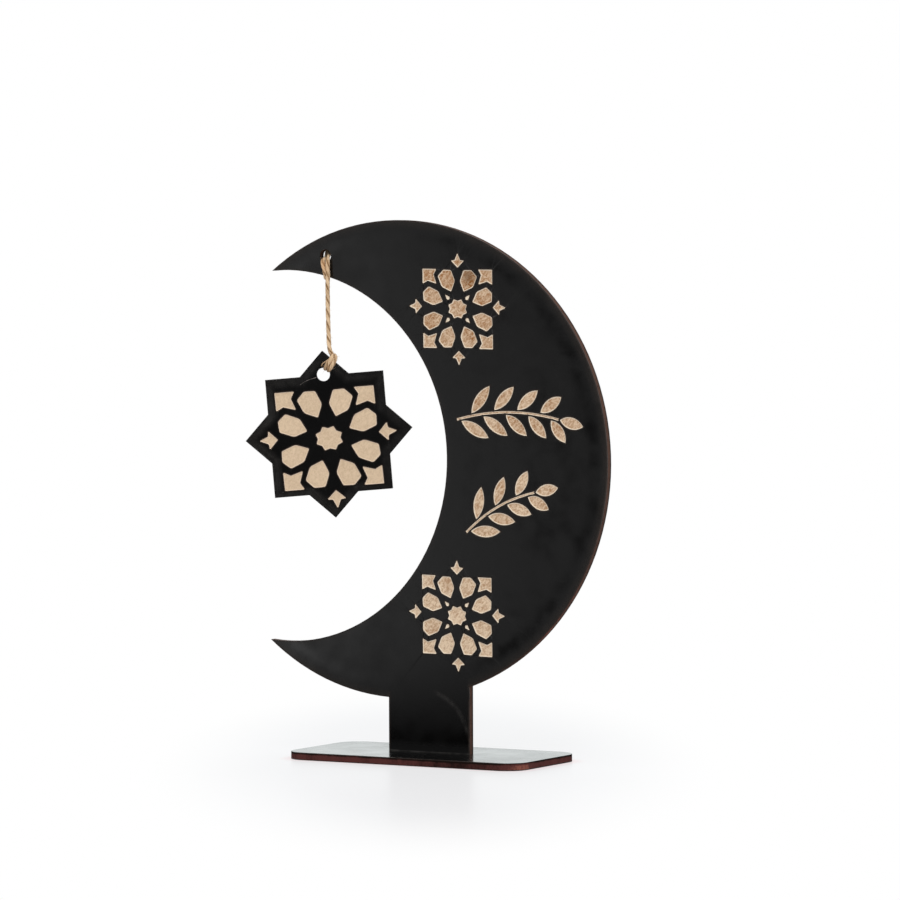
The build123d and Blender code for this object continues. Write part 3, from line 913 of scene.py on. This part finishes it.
def round_section(ring, radius, sides):
    """Points round a ring."""
    section = []
    for step in range(sides):
        angle = 2 * math.pi * step / sides
        out = ring.side * math.cos(angle) + ring.other * math.sin(angle)
        section.append(ring.point + out * radius)
    return section


def add_fibre(skein, start, heading, lift, length, radius, drawn):
    """One loose fibre that leaves the twine along its heading and lifts away."""
    side = heading.cross(lift).normalized()
    sway = drawn.uniform(-0.35, 0.35)
    line = []
    for step in range(FIBRE_STEPS):
        share = step / (FIBRE_STEPS - 1)
        away = lift * (share**1.6 * length * 0.55) + side * (sway * share * share * length)
        line.append(start + heading * (share * length * 0.8) + away)
    loops = []
    mark = (0.5 + drawn.uniform(-0.1, 0.1), drawn.uniform(0, 20))
    for step, ring in enumerate(rings_along(line)):
        thin = radius * (1 - 0.6 * step / (FIBRE_STEPS - 1))
        loops.append(round_section(ring, thin, FIBRE_SIDES))
    skein.tube(loops, [[mark] * FIBRE_SIDES] * FIBRE_STEPS)


def add_loose_fibres(skein, rings, diameter, pitch, count, drawn, longest=FIBRE_LENGTH):
    """Loose fibres here and there along rings."""
    for _ in range(count):
        ring = drawn.choice(rings)
        middle, out, side, direction = ply_frame(ring, drawn.randrange(PLIES), diameter, pitch)
        angle = drawn.uniform(-1.9, 1.9)
        lift = out * math.cos(angle) + side * math.sin(angle)
        heading = direction * drawn.choice((-1, 1))
        start = middle + on_ply(out, side, angle, diameter * 0.9)
        length = drawn.uniform(0.4, 1.0) ** 1.5 * longest
        add_fibre(skein, start, heading, lift, length, FIBRE_RADIUS, drawn)


def add_frayed_end(skein, ring, direction, diameter, drawn):
    """A cut end that opens into a brush of fibres."""
    for _ in range(FRAY_FIBRES):
        angle = drawn.uniform(0, 2 * math.pi)
        lift = ring.side * math.cos(angle) + ring.other * math.sin(angle)
        start = ring.point + lift * (diameter * 0.42 * math.sqrt(drawn.random())) - direction * 0.2 * MM
        length = FRAY_LENGTH * drawn.uniform(0.5, 1.0)
        add_fibre(skein, start, direction, lift, length, FIBRE_RADIUS * 1.5, drawn)


def rim_point(reach, aside, forward):
    """A point near the star's hole, from its reach towards the twine, its step aside and forward."""
    along = STAR_ACROSS * math.sin(LOOP_ANGLE) + STAR_UP * math.cos(LOOP_ANGLE)
    across = STAR_ACROSS * math.cos(LOOP_ANGLE) - STAR_UP * math.sin(LOOP_ANGLE)
    return STAR_HOLE + along * (reach * MM) + across * (aside * MM) + STAR_FRONT * (forward * MM)


def twine_rings():
    """The whole twine's rings, from the tail's cut end to the knot at the star."""
    loop_route = [rim_point(*turn) for turn in LOOP_TURNS]
    return rings_along(route_line(TAIL_ROUTE + HITCH_ROUTE + DROP_ROUTE + loop_route))


def last_above(rings, height):
    """The last ring that is still above a height."""
    return max(index for index, ring in enumerate(rings) if ring.point.z > height)


PANEL_BOARD = (Vector((0, 0, 0)), PANEL_FRONT)
STAR_BOARD = (STAR_HOLE, STAR_FRONT)


def twine_stretch(rings, board, seed):
    """One stretch of twine with its loose fibres, lying on a board where it meets one."""
    settings = bpy.context.scene.ornament_twine
    drawn = random.Random(seed)
    skein = Skein()
    add_plies(skein, rings, settings.diameter, settings.pitch, board)
    length = rings[-1].distance - rings[0].distance
    count = round(settings.fibres_per_metre * length)
    add_loose_fibres(skein, rings, settings.diameter, settings.pitch, count, drawn)
    return skein


WRAP_STEPS = 12
KNOT_FIBRES = 26
KNOT_FIBRE_LENGTH = 1.8 * MM
STAR_KNOT_PLACE = (8.3, 0.15, -0.7)


def wrap_route(centre, axis, side, radius, rise, turns):
    """A turn of twine wound about an axis, whose two ends tuck in."""
    other = axis.cross(side)
    steps = round(WRAP_STEPS * turns)
    points = []
    for step in range(steps + 1):
        share = step / steps
        angle = 2 * math.pi * turns * share
        tuck = 0.45 if step in (0, steps) else 1.0
        along = axis * (rise * (share - 0.5))
        points.append(centre + along + (side * math.cos(angle) + other * math.sin(angle)) * (radius * tuck))
    return points


def knot_skein(centre, axis, side, girth, turns, rise, seed):
    """A pulled-tight knot: a turn of twine drawn down hard on the strand inside it."""
    settings = bpy.context.scene.ornament_twine
    diameter = settings.diameter * settings.knot_shrink
    radius = settings.diameter * girth
    drawn = random.Random(seed)
    skein = Skein()
    rings = rings_along(route_line(wrap_route(centre, axis, side, radius, rise, turns)))
    pitch = settings.pitch * settings.knot_shrink
    add_plies(skein, rings, diameter, pitch)
    add_loose_fibres(skein, rings, diameter, pitch, KNOT_FIBRES, drawn, KNOT_FIBRE_LENGTH)
    return skein


WISP_DIAMETER = 0.5 * MM
WISP_PITCH = 4.0 * MM
WISP_FIBRES = 14
WISP_FIBRE_LENGTH = 1.6 * MM


def add_wisp(skein):
    """A thin end of one ply that lies beside the loop on the star."""
    drawn = random.Random(31)
    rings = rings_along(route_line([rim_point(*place) for place in WISP_ROUTE]))
    add_plies(skein, rings, WISP_DIAMETER, WISP_PITCH)
    add_loose_fibres(skein, rings, WISP_DIAMETER, WISP_PITCH, WISP_FIBRES, drawn, WISP_FIBRE_LENGTH)


def node_middle(name):
    """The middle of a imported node's box."""
    low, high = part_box(name)
    return (low + high) / 2


def hang_twine():
    """The twine's four stretches, split where it bends."""
    rings = twine_rings()
    lead = last_above(rings, LEAD_START)
    middle = last_above(rings, (SWING.z + SWAY.z) / 2)
    drop = last_above(rings, (SWAY.z + TWIST.z) / 2)
    settings = bpy.context.scene.ornament_twine
    down = Vector((0, 0, -1))

    hitch = twine_stretch(rings[:lead + 1], PANEL_BOARD, 3)
    drawn = random.Random(11)
    add_frayed_end(hitch, rings[0], -rings[0].direction, settings.diameter, drawn)
    hitch_piece = hitch.piece("twine_rope_hitch")
    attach(hitch_piece, "panel")
    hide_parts("twine_hitch")

    lead_piece = twine_stretch(rings[lead:middle + 1], PANEL_BOARD, 4).piece("twine_rope_lead")
    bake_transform(lead_piece, "panel", "swing_link", SWING - down * BEND_REACH, SWING + down * BEND_REACH)
    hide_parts("twine_upper_link")

    middle_piece = twine_stretch(rings[middle:drop + 1], None, 5).piece("twine_rope_middle")
    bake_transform(middle_piece, "swing_link", "sway_link", SWAY - down * BEND_REACH, SWAY + down * BEND_REACH)
    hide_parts("twine_lower_link")

    hanging = rings[drop:]
    drop_piece = twine_stretch(hanging, STAR_BOARD, 6).piece("twine_rope_drop")
    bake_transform(drop_piece, "sway_link", "pendant", TWIST, TWIST + down * TWIST_REACH)
    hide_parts("twine_drop", "twine_star_loop")
    return [hitch_piece, lead_piece, middle_piece, drop_piece], hanging


def tie_knots():
    """The knot at the star's edge and the stopper knot behind the panel."""
    star_middle = rim_point(*STAR_KNOT_PLACE)
    up = (Vector(DROP_ROUTE[3]) - star_middle).normalized()
    star_side = STAR_ACROSS.cross(up).normalized()
    star_knot = knot_skein(star_middle, up, star_side, girth=0.34, turns=1.5, rise=1.0 * MM, seed=21)
    add_wisp(star_knot)
    star_piece = star_knot.piece("twine_rope_knot")
    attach(star_piece, "pendant")
    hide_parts("twine_knot")

    tail_middle = node_middle("twine_stopper_knot")
    tail_up = (Vector(HITCH_ROUTE[0]) - Vector(HITCH_ROUTE[1])).normalized()
    tail_side = -PANEL_FRONT
    tail_knot = knot_skein(tail_middle, tail_up, tail_side, girth=0.56, turns=1.7, rise=1.75 * MM, seed=22)
    tail_piece = tail_knot.piece("twine_rope_stopper_knot")
    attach(tail_piece, "panel")
    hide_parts("twine_stopper_knot")
    return star_piece, tail_piece


STRAY_FIBRE_ROUTE = [(-3.0, 22.9), (-4.6, 22.5), (-7.4, 21.9), (-9.8, 20.4)]
STRAY_FIBRE_RADIUS = 0.13 * MM
STRAY_FIBRE_SIDES = 5


def lay_stray_fibre():
    """A single fibre that lies on the star beside its hole."""
    lift = STAR_FRONT * (BOARD_HALF + STRAY_FIBRE_RADIUS)
    points = [STAR_CENTRE + STAR_ACROSS * (x * MM) + STAR_UP * (z * MM) + lift for x, z in STRAY_FIBRE_ROUTE]
    rings = rings_along(route_line(points))
    skein = Skein()
    loops = []
    for ring in rings:
        share = ring.distance / rings[-1].distance
        loops.append(round_section(ring, STRAY_FIBRE_RADIUS * (1 - 0.5 * share), STRAY_FIBRE_SIDES))
    skein.tube(loops, [[(0.5, ring.distance / MM)] * STRAY_FIBRE_SIDES for ring in rings])
    piece = skein.piece("twine_stray_fibre", shared("stray_fibre", stray_material))
    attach(piece, "pendant")
    return piece


# Boards and engraving

WELD_GAP = 0.001 * MM
SHARP_ANGLE = math.radians(40)


def round_edges(node, width):
    """A fine rounding on a board's cut edges."""
    weld = node.modifiers.new("join_corners", "WELD")
    weld.merge_threshold = WELD_GAP
    bevel = node.modifiers.new("round_edges", "BEVEL")
    bevel.width = width
    bevel.segments = 2
    bevel.limit_method = "ANGLE"
    bevel.angle_limit = SHARP_ANGLE
    normals = node.modifiers.new("flat_faces", "WEIGHTED_NORMAL")
    normals.mode = "FACE_AREA"
    normals.weight = 100


def finish_node(name, material):
    """A packed board layer with its finish and rounded edges."""
    node = frame["nodes"][name]
    node.material_slots[0].material = material
    round_edges(node, bpy.context.scene.ornament_laminate.edge_round)


def dress_boards():
    """Finishes for the base, the panel and the star."""
    settings = bpy.context.scene.ornament_laminate
    panel_skin = laminate_material(
        "panel_laminate", panel_marks, settings.residue, settings.roughness, {"Specular IOR Level": 0.47},
    )
    star_skin = laminate_material(
        "star_laminate", star_marks, settings.star_residue, settings.roughness, {},
    )
    base_skin = laminate_material(
        "base_laminate", base_marks, settings.residue, settings.base_roughness,
        {"Coat Weight": 0.55, "Coat Roughness": 0.13},
    )
    for side in ("front", "rear"):
        finish_node(f"crescent_{side}_laminate", panel_skin)
        finish_node(f"star_{side}_laminate", star_skin)
    for side in ("top", "bottom"):
        finish_node(f"base_{side}_laminate", base_skin)
    cores = bpy.context.scene.ornament_core
    half_core = (PANEL_HIGH.y - PANEL_LOW.y) / 2 / MM
    panel_edge = core_material(
        "panel_edge", PANEL_FRONT, (0, 0, 0), half_core, (1.0, 0.08, 1.0), cores.panel_fibre,
        # The cut edge is darker round the horn's hole and paler at the lower right rim, which is painted
        # light.
        palest=0.58, lip=0.3, marks=[(HORN_HOLE, 4.5, 1.2), (PAINTED_BOUNCE_RIM, 36.0, -0.6)],
    )
    star_edge = core_material(
        "star_edge", STAR_FRONT, STAR_CENTRE / MM, half_core, (0.7, 0.7, 1.0), cores.panel_fibre,
        palest=0.45, lip=0.16, marks=[],
    )
    base_edge = core_material(
        "base_edge", (0, 0, 1), (BASE_LOW + BASE_HIGH) / 2 / MM, half_core, (1.0, 1.0, 0.08),
        cores.base_fibre, palest=0.0, lip=0.72,
        # The front right corner is paler, a painted highlight; the front is sootier.
        marks=[(PAINTED_HIGHLIGHT_CORNER, 11.0, -1.1), (SOOTY_FRONT, 34.0, 0.75)],
    )
    finish_node("crescent_core", panel_edge)
    finish_node("star_core", star_edge)
    finish_node("base_core", base_edge)


OUTLINE_WELD = 0.0005 * MM
FACES_FRONT = 0.99
SAME_HOLE = 0.4 * MM


def front_outlines(name, front):
    """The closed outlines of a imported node's front face."""
    shape = bmesh.new()
    shape.from_mesh(frame["nodes"][name].data)
    bmesh.ops.remove_doubles(shape, verts=shape.verts, dist=OUTLINE_WELD)
    faces = {face for face in shape.faces if face.normal.dot(front) > FACES_FRONT}
    following = {}
    for face in faces:
        for loop in face.loops:
            others = [other for other in loop.edge.link_faces if other in faces]
            if len(others) == 1:
                following[loop.vert] = loop.link_loop_next.vert
    outlines = []
    while following:
        first, step = following.popitem()
        outline = [first.co.copy()]
        while step != first:
            outline.append(step.co.copy())
            step = following.pop(step)
        outlines.append(outline)
    shape.free()
    return outlines


def middle_of(points):
    """The mean of some points."""
    return sum(points, Vector()) / len(points)


def engraved_outlines(laminate, core, front):
    """The outlines that go through a front laminate but not through the core behind it."""
    through = [middle_of(outline) for outline in front_outlines(core, front)]
    cells = []
    for outline in front_outlines(laminate, front):
        middle = middle_of(outline)
        flat_gaps = [(middle - other) - front * (middle - other).dot(front) for other in through]
        if min(gap.length for gap in flat_gaps) > SAME_HOLE:
            cells.append(outline)
    if not cells:
        raise RuntimeError(f"{laminate} has no engraved cells")
    return cells


HALO_LIFT = 0.012 * MM
HALO_STEP = 0.0002 * MM
SHARPEST_MITRE = 0.4
ALL_BUT_IN_LINE = 0.01


def outset(outline, front, width):
    """An anticlockwise outline moved outwards in its own plane."""
    count = len(outline)
    moved = []
    for index, point in enumerate(outline):
        before = (point - outline[index - 1]).normalized()
        after = (outline[(index + 1) % count] - point).normalized()
        first = before.cross(front)
        corner = (first + after.cross(front)).normalized()
        moved.append(point + corner * (width / max(corner.dot(first), SHARPEST_MITRE)))
    return moved


def meeting(first, second, front):
    """Where two runs in one plane meet, or the second's start where they are all but in line."""
    start, heading = first
    other, other_heading = second
    sine = heading.cross(other_heading).dot(front)
    if abs(sine) < ALL_BUT_IN_LINE:
        return other
    return start + heading * ((other - start).cross(other_heading).dot(front) / sine)


def inset(outline, front, width):
    """An anticlockwise outline moved inwards; a rounding that is too tight for that closes to a corner."""
    count = len(outline)
    runs = []
    for index, point in enumerate(outline):
        heading = (outline[(index + 1) % count] - point).normalized()
        runs.append((point - heading.cross(front) * width, heading))
    kept = list(range(count))
    left = None
    while left != len(kept):
        left = len(kept)
        corners = {kept[i]: meeting(runs[kept[i - 1]], runs[kept[i]], front) for i in range(left)}
        lengths = {
            index: (corners[kept[(i + 1) % left]] - corners[index]).dot(runs[index][1])
            for i, index in enumerate(kept)
        }
        kept = [index for index in kept if lengths[index] > 0]
    corner = corners[kept[0]]
    moved = []
    for index in reversed(range(count)):
        corner = corners.get(index, corner)
        moved.append(corner)
    return list(reversed(moved))


def slimness(outline, front):
    """Twice a cell's area over its girth, which is near the width of a slim cell."""
    middle = middle_of(outline)
    area = 0.0
    girth = 0.0
    for index, point in enumerate(outline):
        before = outline[index - 1]
        area += (before - middle).cross(point - middle).dot(front) / 2
        girth += (point - before).length
    return 2 * area / girth


def add_loop(shape, outline, lift, mark):
    """New corners along an outline, lifted off it, with their mark on the way from floor to halo."""
    rim = shape.verts.layers.float["rim"]
    verts = [shape.verts.new(point + lift) for point in outline]
    for vert in verts:
        vert[rim] = mark
    return verts


def bridge(shape, inner, outer):
    """A strip of faces between two loops of corners."""
    for index in range(len(inner)):
        shape.faces.new((outer[index - 1], outer[index], inner[index], inner[index - 1]))


TINY_CELL = 0.75 * MM
SLIM_SHARE = 0.45
CELL_SUNK = 0.04 * MM
PANEL_CELL_DEPTH = 0.22 * MM
STAR_CELL_DEPTH = 0.2 * MM
FLOOR_WELD = 0.002 * MM


def add_cell(shape, outline, front, widths, depths, lift):
    """One engraved cell: floor, sloping rim, wall and the scorched line outside it."""
    rim_width, halo_width = widths
    sunk, depth = depths
    slim = slimness(outline, front)
    inner = inset(outline, front, min(rim_width, SLIM_SHARE * slim))
    floor = add_loop(shape, inner, -front * (sunk + depth), 1.0 if slim < TINY_CELL else 0.0)
    edge = add_loop(shape, outline, -front * sunk, 1.0)
    lip = add_loop(shape, outline, front * lift, 2.0)
    halo = add_loop(shape, outset(outline, front, halo_width), front * lift, 3.0)
    shape.faces.new(floor)
    bridge(shape, floor, edge)
    bridge(shape, edge, lip)
    bridge(shape, lip, halo)
    return floor, (*floor, *edge, *lip, *halo)


def engraving_piece(name, laminate, core, front, widths, depths, tint_of, material):
    """The engraved cells of a board as one piece."""
    drawn = random.Random(name)
    shape = bmesh.new()
    shape.verts.layers.float.new("rim")
    tint = shape.verts.layers.float.new("tint")
    outlines = engraved_outlines(laminate, core, front)
    outlines.sort(key=lambda outline: tuple(round(value / MM, 2) for value in middle_of(outline)))
    floors = []
    for index, outline in enumerate(outlines):
        if slimness(outline, front) < 0:
            outline.reverse()
        floor, verts = add_cell(shape, outline, front, widths, depths, HALO_LIFT + HALO_STEP * index)
        floors += floor
        shade = tint_of(middle_of(outline), drawn)
        for vert in verts:
            vert[tint] = shade
    bmesh.ops.remove_doubles(shape, verts=floors, dist=FLOOR_WELD)
    bmesh.ops.triangulate(shape, faces=[face for face in shape.faces if len(face.verts) > 4])
    mesh = bpy.data.meshes.new(name)
    shape.to_mesh(mesh)
    shape.free()
    mesh.materials.append(material)
    made = placed(name, mesh)
    return made


BURNT_PETALS = [
    (Vector((0.0180, -0.0015, 0.1887)), 0.12),
    (Vector((0.0082, -0.0015, 0.1887)), 0.12),
]
PETAL_REACH = 3 * MM
PETAL_STAINS = [((18.5, -1.3, 190.3), 5.2, 0.6)]
LOWEST_CELL = 57.0
CELLS_RISE = 120.0


def panel_tint(middle, drawn):
    """How burnt a panel cell is: the upper ones more, and two petals a lot more."""
    height = (middle.z / MM - LOWEST_CELL) / CELLS_RISE
    strong = sum(extra for petal, extra in BURNT_PETALS if (middle - petal).length < PETAL_REACH)
    return drawn.uniform(-0.07, 0.07) + 0.29 * height - 0.11 + strong


def star_tint(middle, drawn):
    """How burnt a star cell is: all much alike."""
    return drawn.uniform(-0.04, 0.06)


def engrave():
    """The engraved floors of the panel and the star."""
    settings = bpy.context.scene.ornament_engraving
    panel_floor = engraving_material(
        "panel_engraving", settings.panel_tan, settings.panel_brown, settings.panel_rim,
        grain=0.66, mottle=0.22, stains=PETAL_STAINS,
    )
    star_floor = engraving_material(
        "star_engraving", settings.star_tan, settings.star_brown, settings.star_rim,
        grain=0.42, mottle=0.12, stains=[],
    )
    panel_piece = engraving_piece(
        "panel_engraved_cells", "crescent_front_laminate", "crescent_core", PANEL_FRONT,
        (settings.rim_width, settings.halo_width), (CELL_SUNK, PANEL_CELL_DEPTH), panel_tint, panel_floor,
    )
    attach(panel_piece, "panel")
    star_piece = engraving_piece(
        "star_engraved_cells", "star_front_laminate", "star_core", STAR_FRONT,
        (settings.star_rim_width, settings.halo_width), (CELL_SUNK, STAR_CELL_DEPTH), star_tint, star_floor,
    )
    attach(star_piece, "pendant")


# Studio

def set_camera():
    """The camera at the photograph's viewpoint."""
    camera = bpy.data.cameras.new("photo_camera")
    camera.lens = CAMERA_LENS
    camera.sensor_width = CAMERA_SENSOR
    camera.clip_end = 50.0
    holder = placed("photo_camera", camera)
    forward = CAMERA_FORWARD.normalized()
    right = (CAMERA_RIGHT - forward * CAMERA_RIGHT.dot(forward)).normalized()
    up = right.cross(forward)
    turn = Matrix((right, up, -forward)).transposed().to_4x4()
    holder.matrix_world = Matrix.Translation(CAMERA_PLACE) @ turn
    bpy.context.scene.camera = holder


LIGHT_TARGET = Vector((0.0, 0.0, 0.11))


def area_light(name, place, width, power):
    """A soft square light that points at the ornament's middle."""
    light = bpy.data.lights.new(name, "AREA")
    light.shape = "SQUARE"
    light.size = width
    light.energy = power
    holder = placed(name, light)
    holder.location = place
    holder.rotation_euler = (LIGHT_TARGET - Vector(place)).to_track_quat("-Z", "Y").to_euler()


WHITE = (1, 1, 1, 1)
WHITE_SIDE = (-0.35, 0.93, 0.0)
MIRRORED_WHITE = (0.955, 1, 0.995, 1)


def surround(settings):
    """White behind, as the camera and the gloss see it, dim in front with a bright wall at the left."""
    world = bpy.data.worlds.new("studio_surround")
    bpy.context.scene.world = world
    world.use_nodes = True
    graph = Graph(world.node_tree)
    way = graph.add("ShaderNodeTexCoord").outputs["Generated"]
    behind = graph.span(graph.along(way, WHITE_SIDE), -0.35, 0.35)
    parts = graph.split(way)
    ahead = graph.most(graph.times(parts[1], -1.0), 0.001)
    leftward = graph.math("DIVIDE", graph.times(parts[0], -1.0), ahead)
    upward = graph.math("DIVIDE", parts[2], ahead)
    wall = graph.span(leftward, 0.577, 0.622, 0.0, settings.glow)
    wall = graph.times(wall, graph.fade(upward, -0.03, 0.1))
    wall = graph.most(wall, settings.dim_side)
    grey = graph.add("ShaderNodeCombineColor", {0: wall, 1: wall, 2: wall}).outputs[0]
    mirrored = graph.mix(behind, grey, MIRRORED_WHITE)
    level = settings.soft_light
    path = graph.add("ShaderNodeLightPath").outputs
    colour = graph.mix(path["Is Glossy Ray"], (level, level, level, 1), mirrored)
    seen = graph.most(path["Is Camera Ray"], path["Is Transmission Ray"])
    colour = graph.mix(seen, colour, WHITE)
    background = graph.add("ShaderNodeBackground", {"Color": colour, "Strength": 1.0})
    graph.add("ShaderNodeOutputWorld", {"Surface": background.outputs[0]})


# The paper is greyer than the white beyond it, so the oval round the ornament is darker even where no shadow
# falls: real shade and partly painted shade.
PAPER = (0.69, 0.69, 0.73, 1)
# Painted reflection: a pinkish tint beside the base's edge stands in for the lit reddish edge mirrored in the
# floor.
PAINTED_REFLECTION_TINT = (1, 0.88, 0.88, 1)
FLOOR_AWAY = (-0.5046, 0.8634, 0.0)
FLOOR_ASIDE = (0.8634, 0.5046, 0.0)
SHADE_LENGTHENING = 3.0
BASE_CORNER = 9.0 * MM
REFLECTION_REACH = 6.0 * MM


def floor_material(settings):
    """White paper: bright to the camera, with real shade round the ornament on grey paper that adds painted
    shade, a painted reflection of the base's reddish edge beside it, and painted shade near the ornament to
    glossy rays.
    """
    material, graph = new_material("studio_floor")
    place = graph.add("ShaderNodeTexCoord").outputs["Object"]
    reach = graph.length(place)
    away = graph.math("DIVIDE", graph.along(place, FLOOR_AWAY), SHADE_LENGTHENING)
    oval = graph.joined(away, graph.along(place, FLOOR_ASIDE))
    oval = graph.length(oval)
    shade = graph.span(oval, 0.05, 0.115, settings.floor_shade, 0.0)
    paper = graph.add("ShaderNodeBsdfPrincipled", {"Base Color": PAPER, "Roughness": 0.3})
    parts = graph.split(place)
    # Painted reflection: the white is tinted pink within a few millimetres of the base's outline.
    beside = [
        graph.most(graph.minus(graph.size(parts[axis]), flat), 0.0)
        for axis, flat in enumerate((BASE_HIGH.x - BASE_CORNER, BASE_HIGH.y - BASE_CORNER))
    ]
    from_base = graph.length(graph.joined(*beside))
    painted_reflection = graph.fade(from_base, BASE_CORNER + 0.2 * MM, BASE_CORNER + REFLECTION_REACH)
    white_and_reflection = graph.mix(painted_reflection, WHITE, PAINTED_REFLECTION_TINT)
    white = graph.add("ShaderNodeEmission", {"Color": white_and_reflection, "Strength": 1.0})
    path = graph.add("ShaderNodeLightPath").outputs
    seen = graph.add("ShaderNodeMixShader", {0: shade, 1: white.outputs[0], 2: paper.outputs[0]})
    both = {0: path["Is Camera Ray"], 1: paper.outputs[0], 2: seen.outputs[0]}
    mixed = graph.add("ShaderNodeMixShader", both)
    # Painted shade: to glossy rays the floor is black near the ornament, fading to see-through further out.
    clear = graph.add("ShaderNodeBsdfTransparent")
    dark = graph.add("ShaderNodeEmission", {"Color": (0, 0, 0, 1), "Strength": 0.0})
    painted_shade_fade = graph.span(reach, 0.065, 0.57)
    mirrored = graph.add("ShaderNodeMixShader", {0: painted_shade_fade, 1: dark.outputs[0], 2: clear.outputs[0]})
    whole = {0: path["Is Glossy Ray"], 1: mixed.outputs[0], 2: mirrored.outputs[0]}
    surface = graph.add("ShaderNodeMixShader", whole)
    graph.add("ShaderNodeOutputMaterial", {"Surface": surface.outputs[0]})
    return material


FLOOR_HALF = 3.0
FLOOR_GAP = 0.02 * MM
KEY_PLACE = (0.95, -1.35, 1.35)
KEY_WIDTH = 1.2
TOP_PLACE = (0.1, 0.3, 1.5)
TOP_WIDTH = 1.4


def set_stage():
    """Floor, surround and lights."""
    settings = bpy.context.scene.ornament_studio
    bpy.context.scene.view_settings.view_transform = "Standard"
    mesh = bpy.data.meshes.new("studio_floor")
    corners = [(-1, -1), (1, -1), (1, 1), (-1, 1)]
    mesh.from_pydata([(x * FLOOR_HALF, y * FLOOR_HALF, 0.0) for x, y in corners], [], [(0, 1, 2, 3)])
    mesh.materials.append(floor_material(settings))
    floor = placed("studio_floor", mesh)
    floor.location.z = BASE_BOTTOM.z - FLOOR_GAP
    surround(settings)
    area_light("key_front_right", KEY_PLACE, KEY_WIDTH, settings.key_power)
    area_light("light_overhead", TOP_PLACE, TOP_WIDTH, settings.top_power)


# Operators, one for each group of pieces

class ORNAMENT_OT_camera(bpy.types.Operator):
    """Set the camera at the photograph's viewpoint"""

    bl_idname = "ornament.camera"
    bl_label = "Set Camera"

    def execute(self, context):
        set_camera()
        return {"FINISHED"}


class ORNAMENT_OT_twine(bpy.types.Operator):
    """Hang the twisted twine with its knots"""

    bl_idname = "ornament.twine"
    bl_label = "Hang Twine"

    def execute(self, context):
        pieces, hanging = hang_twine()
        star_knot, stopper_knot = tie_knots()
        return {"FINISHED"}


class ORNAMENT_OT_stray_fibre(bpy.types.Operator):
    """Lay a stray fibre on the star"""

    bl_idname = "ornament.stray_fibre"
    bl_label = "Lay Stray Fibre"

    def execute(self, context):
        lay_stray_fibre()
        return {"FINISHED"}


class ORNAMENT_OT_boards(bpy.types.Operator):
    """Finish the boards of the base, the panel and the star"""

    bl_idname = "ornament.boards"
    bl_label = "Finish Boards"

    def execute(self, context):
        dress_boards()
        return {"FINISHED"}


class ORNAMENT_OT_engraving(bpy.types.Operator):
    """Floor the engraved cells of the panel and the star"""

    bl_idname = "ornament.engraving"
    bl_label = "Engrave Cells"

    def execute(self, context):
        engrave()
        return {"FINISHED"}


class ORNAMENT_OT_stage(bpy.types.Operator):
    """Build the floor, the surround and the lights"""

    bl_idname = "ornament.stage"
    bl_label = "Build Stage"

    def execute(self, context):
        set_stage()
        return {"FINISHED"}


OPERATORS = (
    ORNAMENT_OT_camera,
    ORNAMENT_OT_twine,
    ORNAMENT_OT_stray_fibre,
    ORNAMENT_OT_boards,
    ORNAMENT_OT_engraving,
    ORNAMENT_OT_stage,
)
SETTINGS = {
    "ornament_twine": TwineSettings,
    "ornament_laminate": LaminateSettings,
    "ornament_core": CoreSettings,
    "ornament_engraving": EngravingSettings,
    "ornament_studio": StudioSettings,
}


class ORNAMENT_PT_sidebar(bpy.types.Panel):
    """Settings and steps of the crescent ornament"""

    bl_idname = "ORNAMENT_PT_sidebar"
    bl_label = "Crescent Ornament"
    bl_space_type = "VIEW_3D"
    bl_region_type = "UI"
    bl_category = "Ornament"

    def draw(self, context):
        for key in SETTINGS:
            box = self.layout.box()
            settings = getattr(context.scene, key)
            for label in settings.__annotations__:
                box.prop(settings, label)
        for operator in OPERATORS:
            self.layout.operator(operator.bl_idname)


def register():
    """Makes the settings, operators and panel known."""
    for key, kind in SETTINGS.items():
        bpy.utils.register_class(kind)
        setattr(bpy.types.Scene, key, bpy.props.PointerProperty(type=kind))
    for kind in (*OPERATORS, ORNAMENT_PT_sidebar):
        bpy.utils.register_class(kind)


def unregister():
    """Takes the settings, operators and panel away again."""
    for kind in (ORNAMENT_PT_sidebar, *reversed(OPERATORS)):
        bpy.utils.unregister_class(kind)
    for key, kind in reversed(SETTINGS.items()):
        delattr(bpy.types.Scene, key)
        bpy.utils.unregister_class(kind)


def main():
    """Registers the add-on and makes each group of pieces."""
    register()
    bpy.ops.ornament.camera()
    bpy.ops.ornament.twine()
    bpy.ops.ornament.stray_fibre()
    bpy.ops.ornament.boards()
    bpy.ops.ornament.engraving()
    bpy.ops.ornament.stage()


if __name__ == "__main__":
    main()
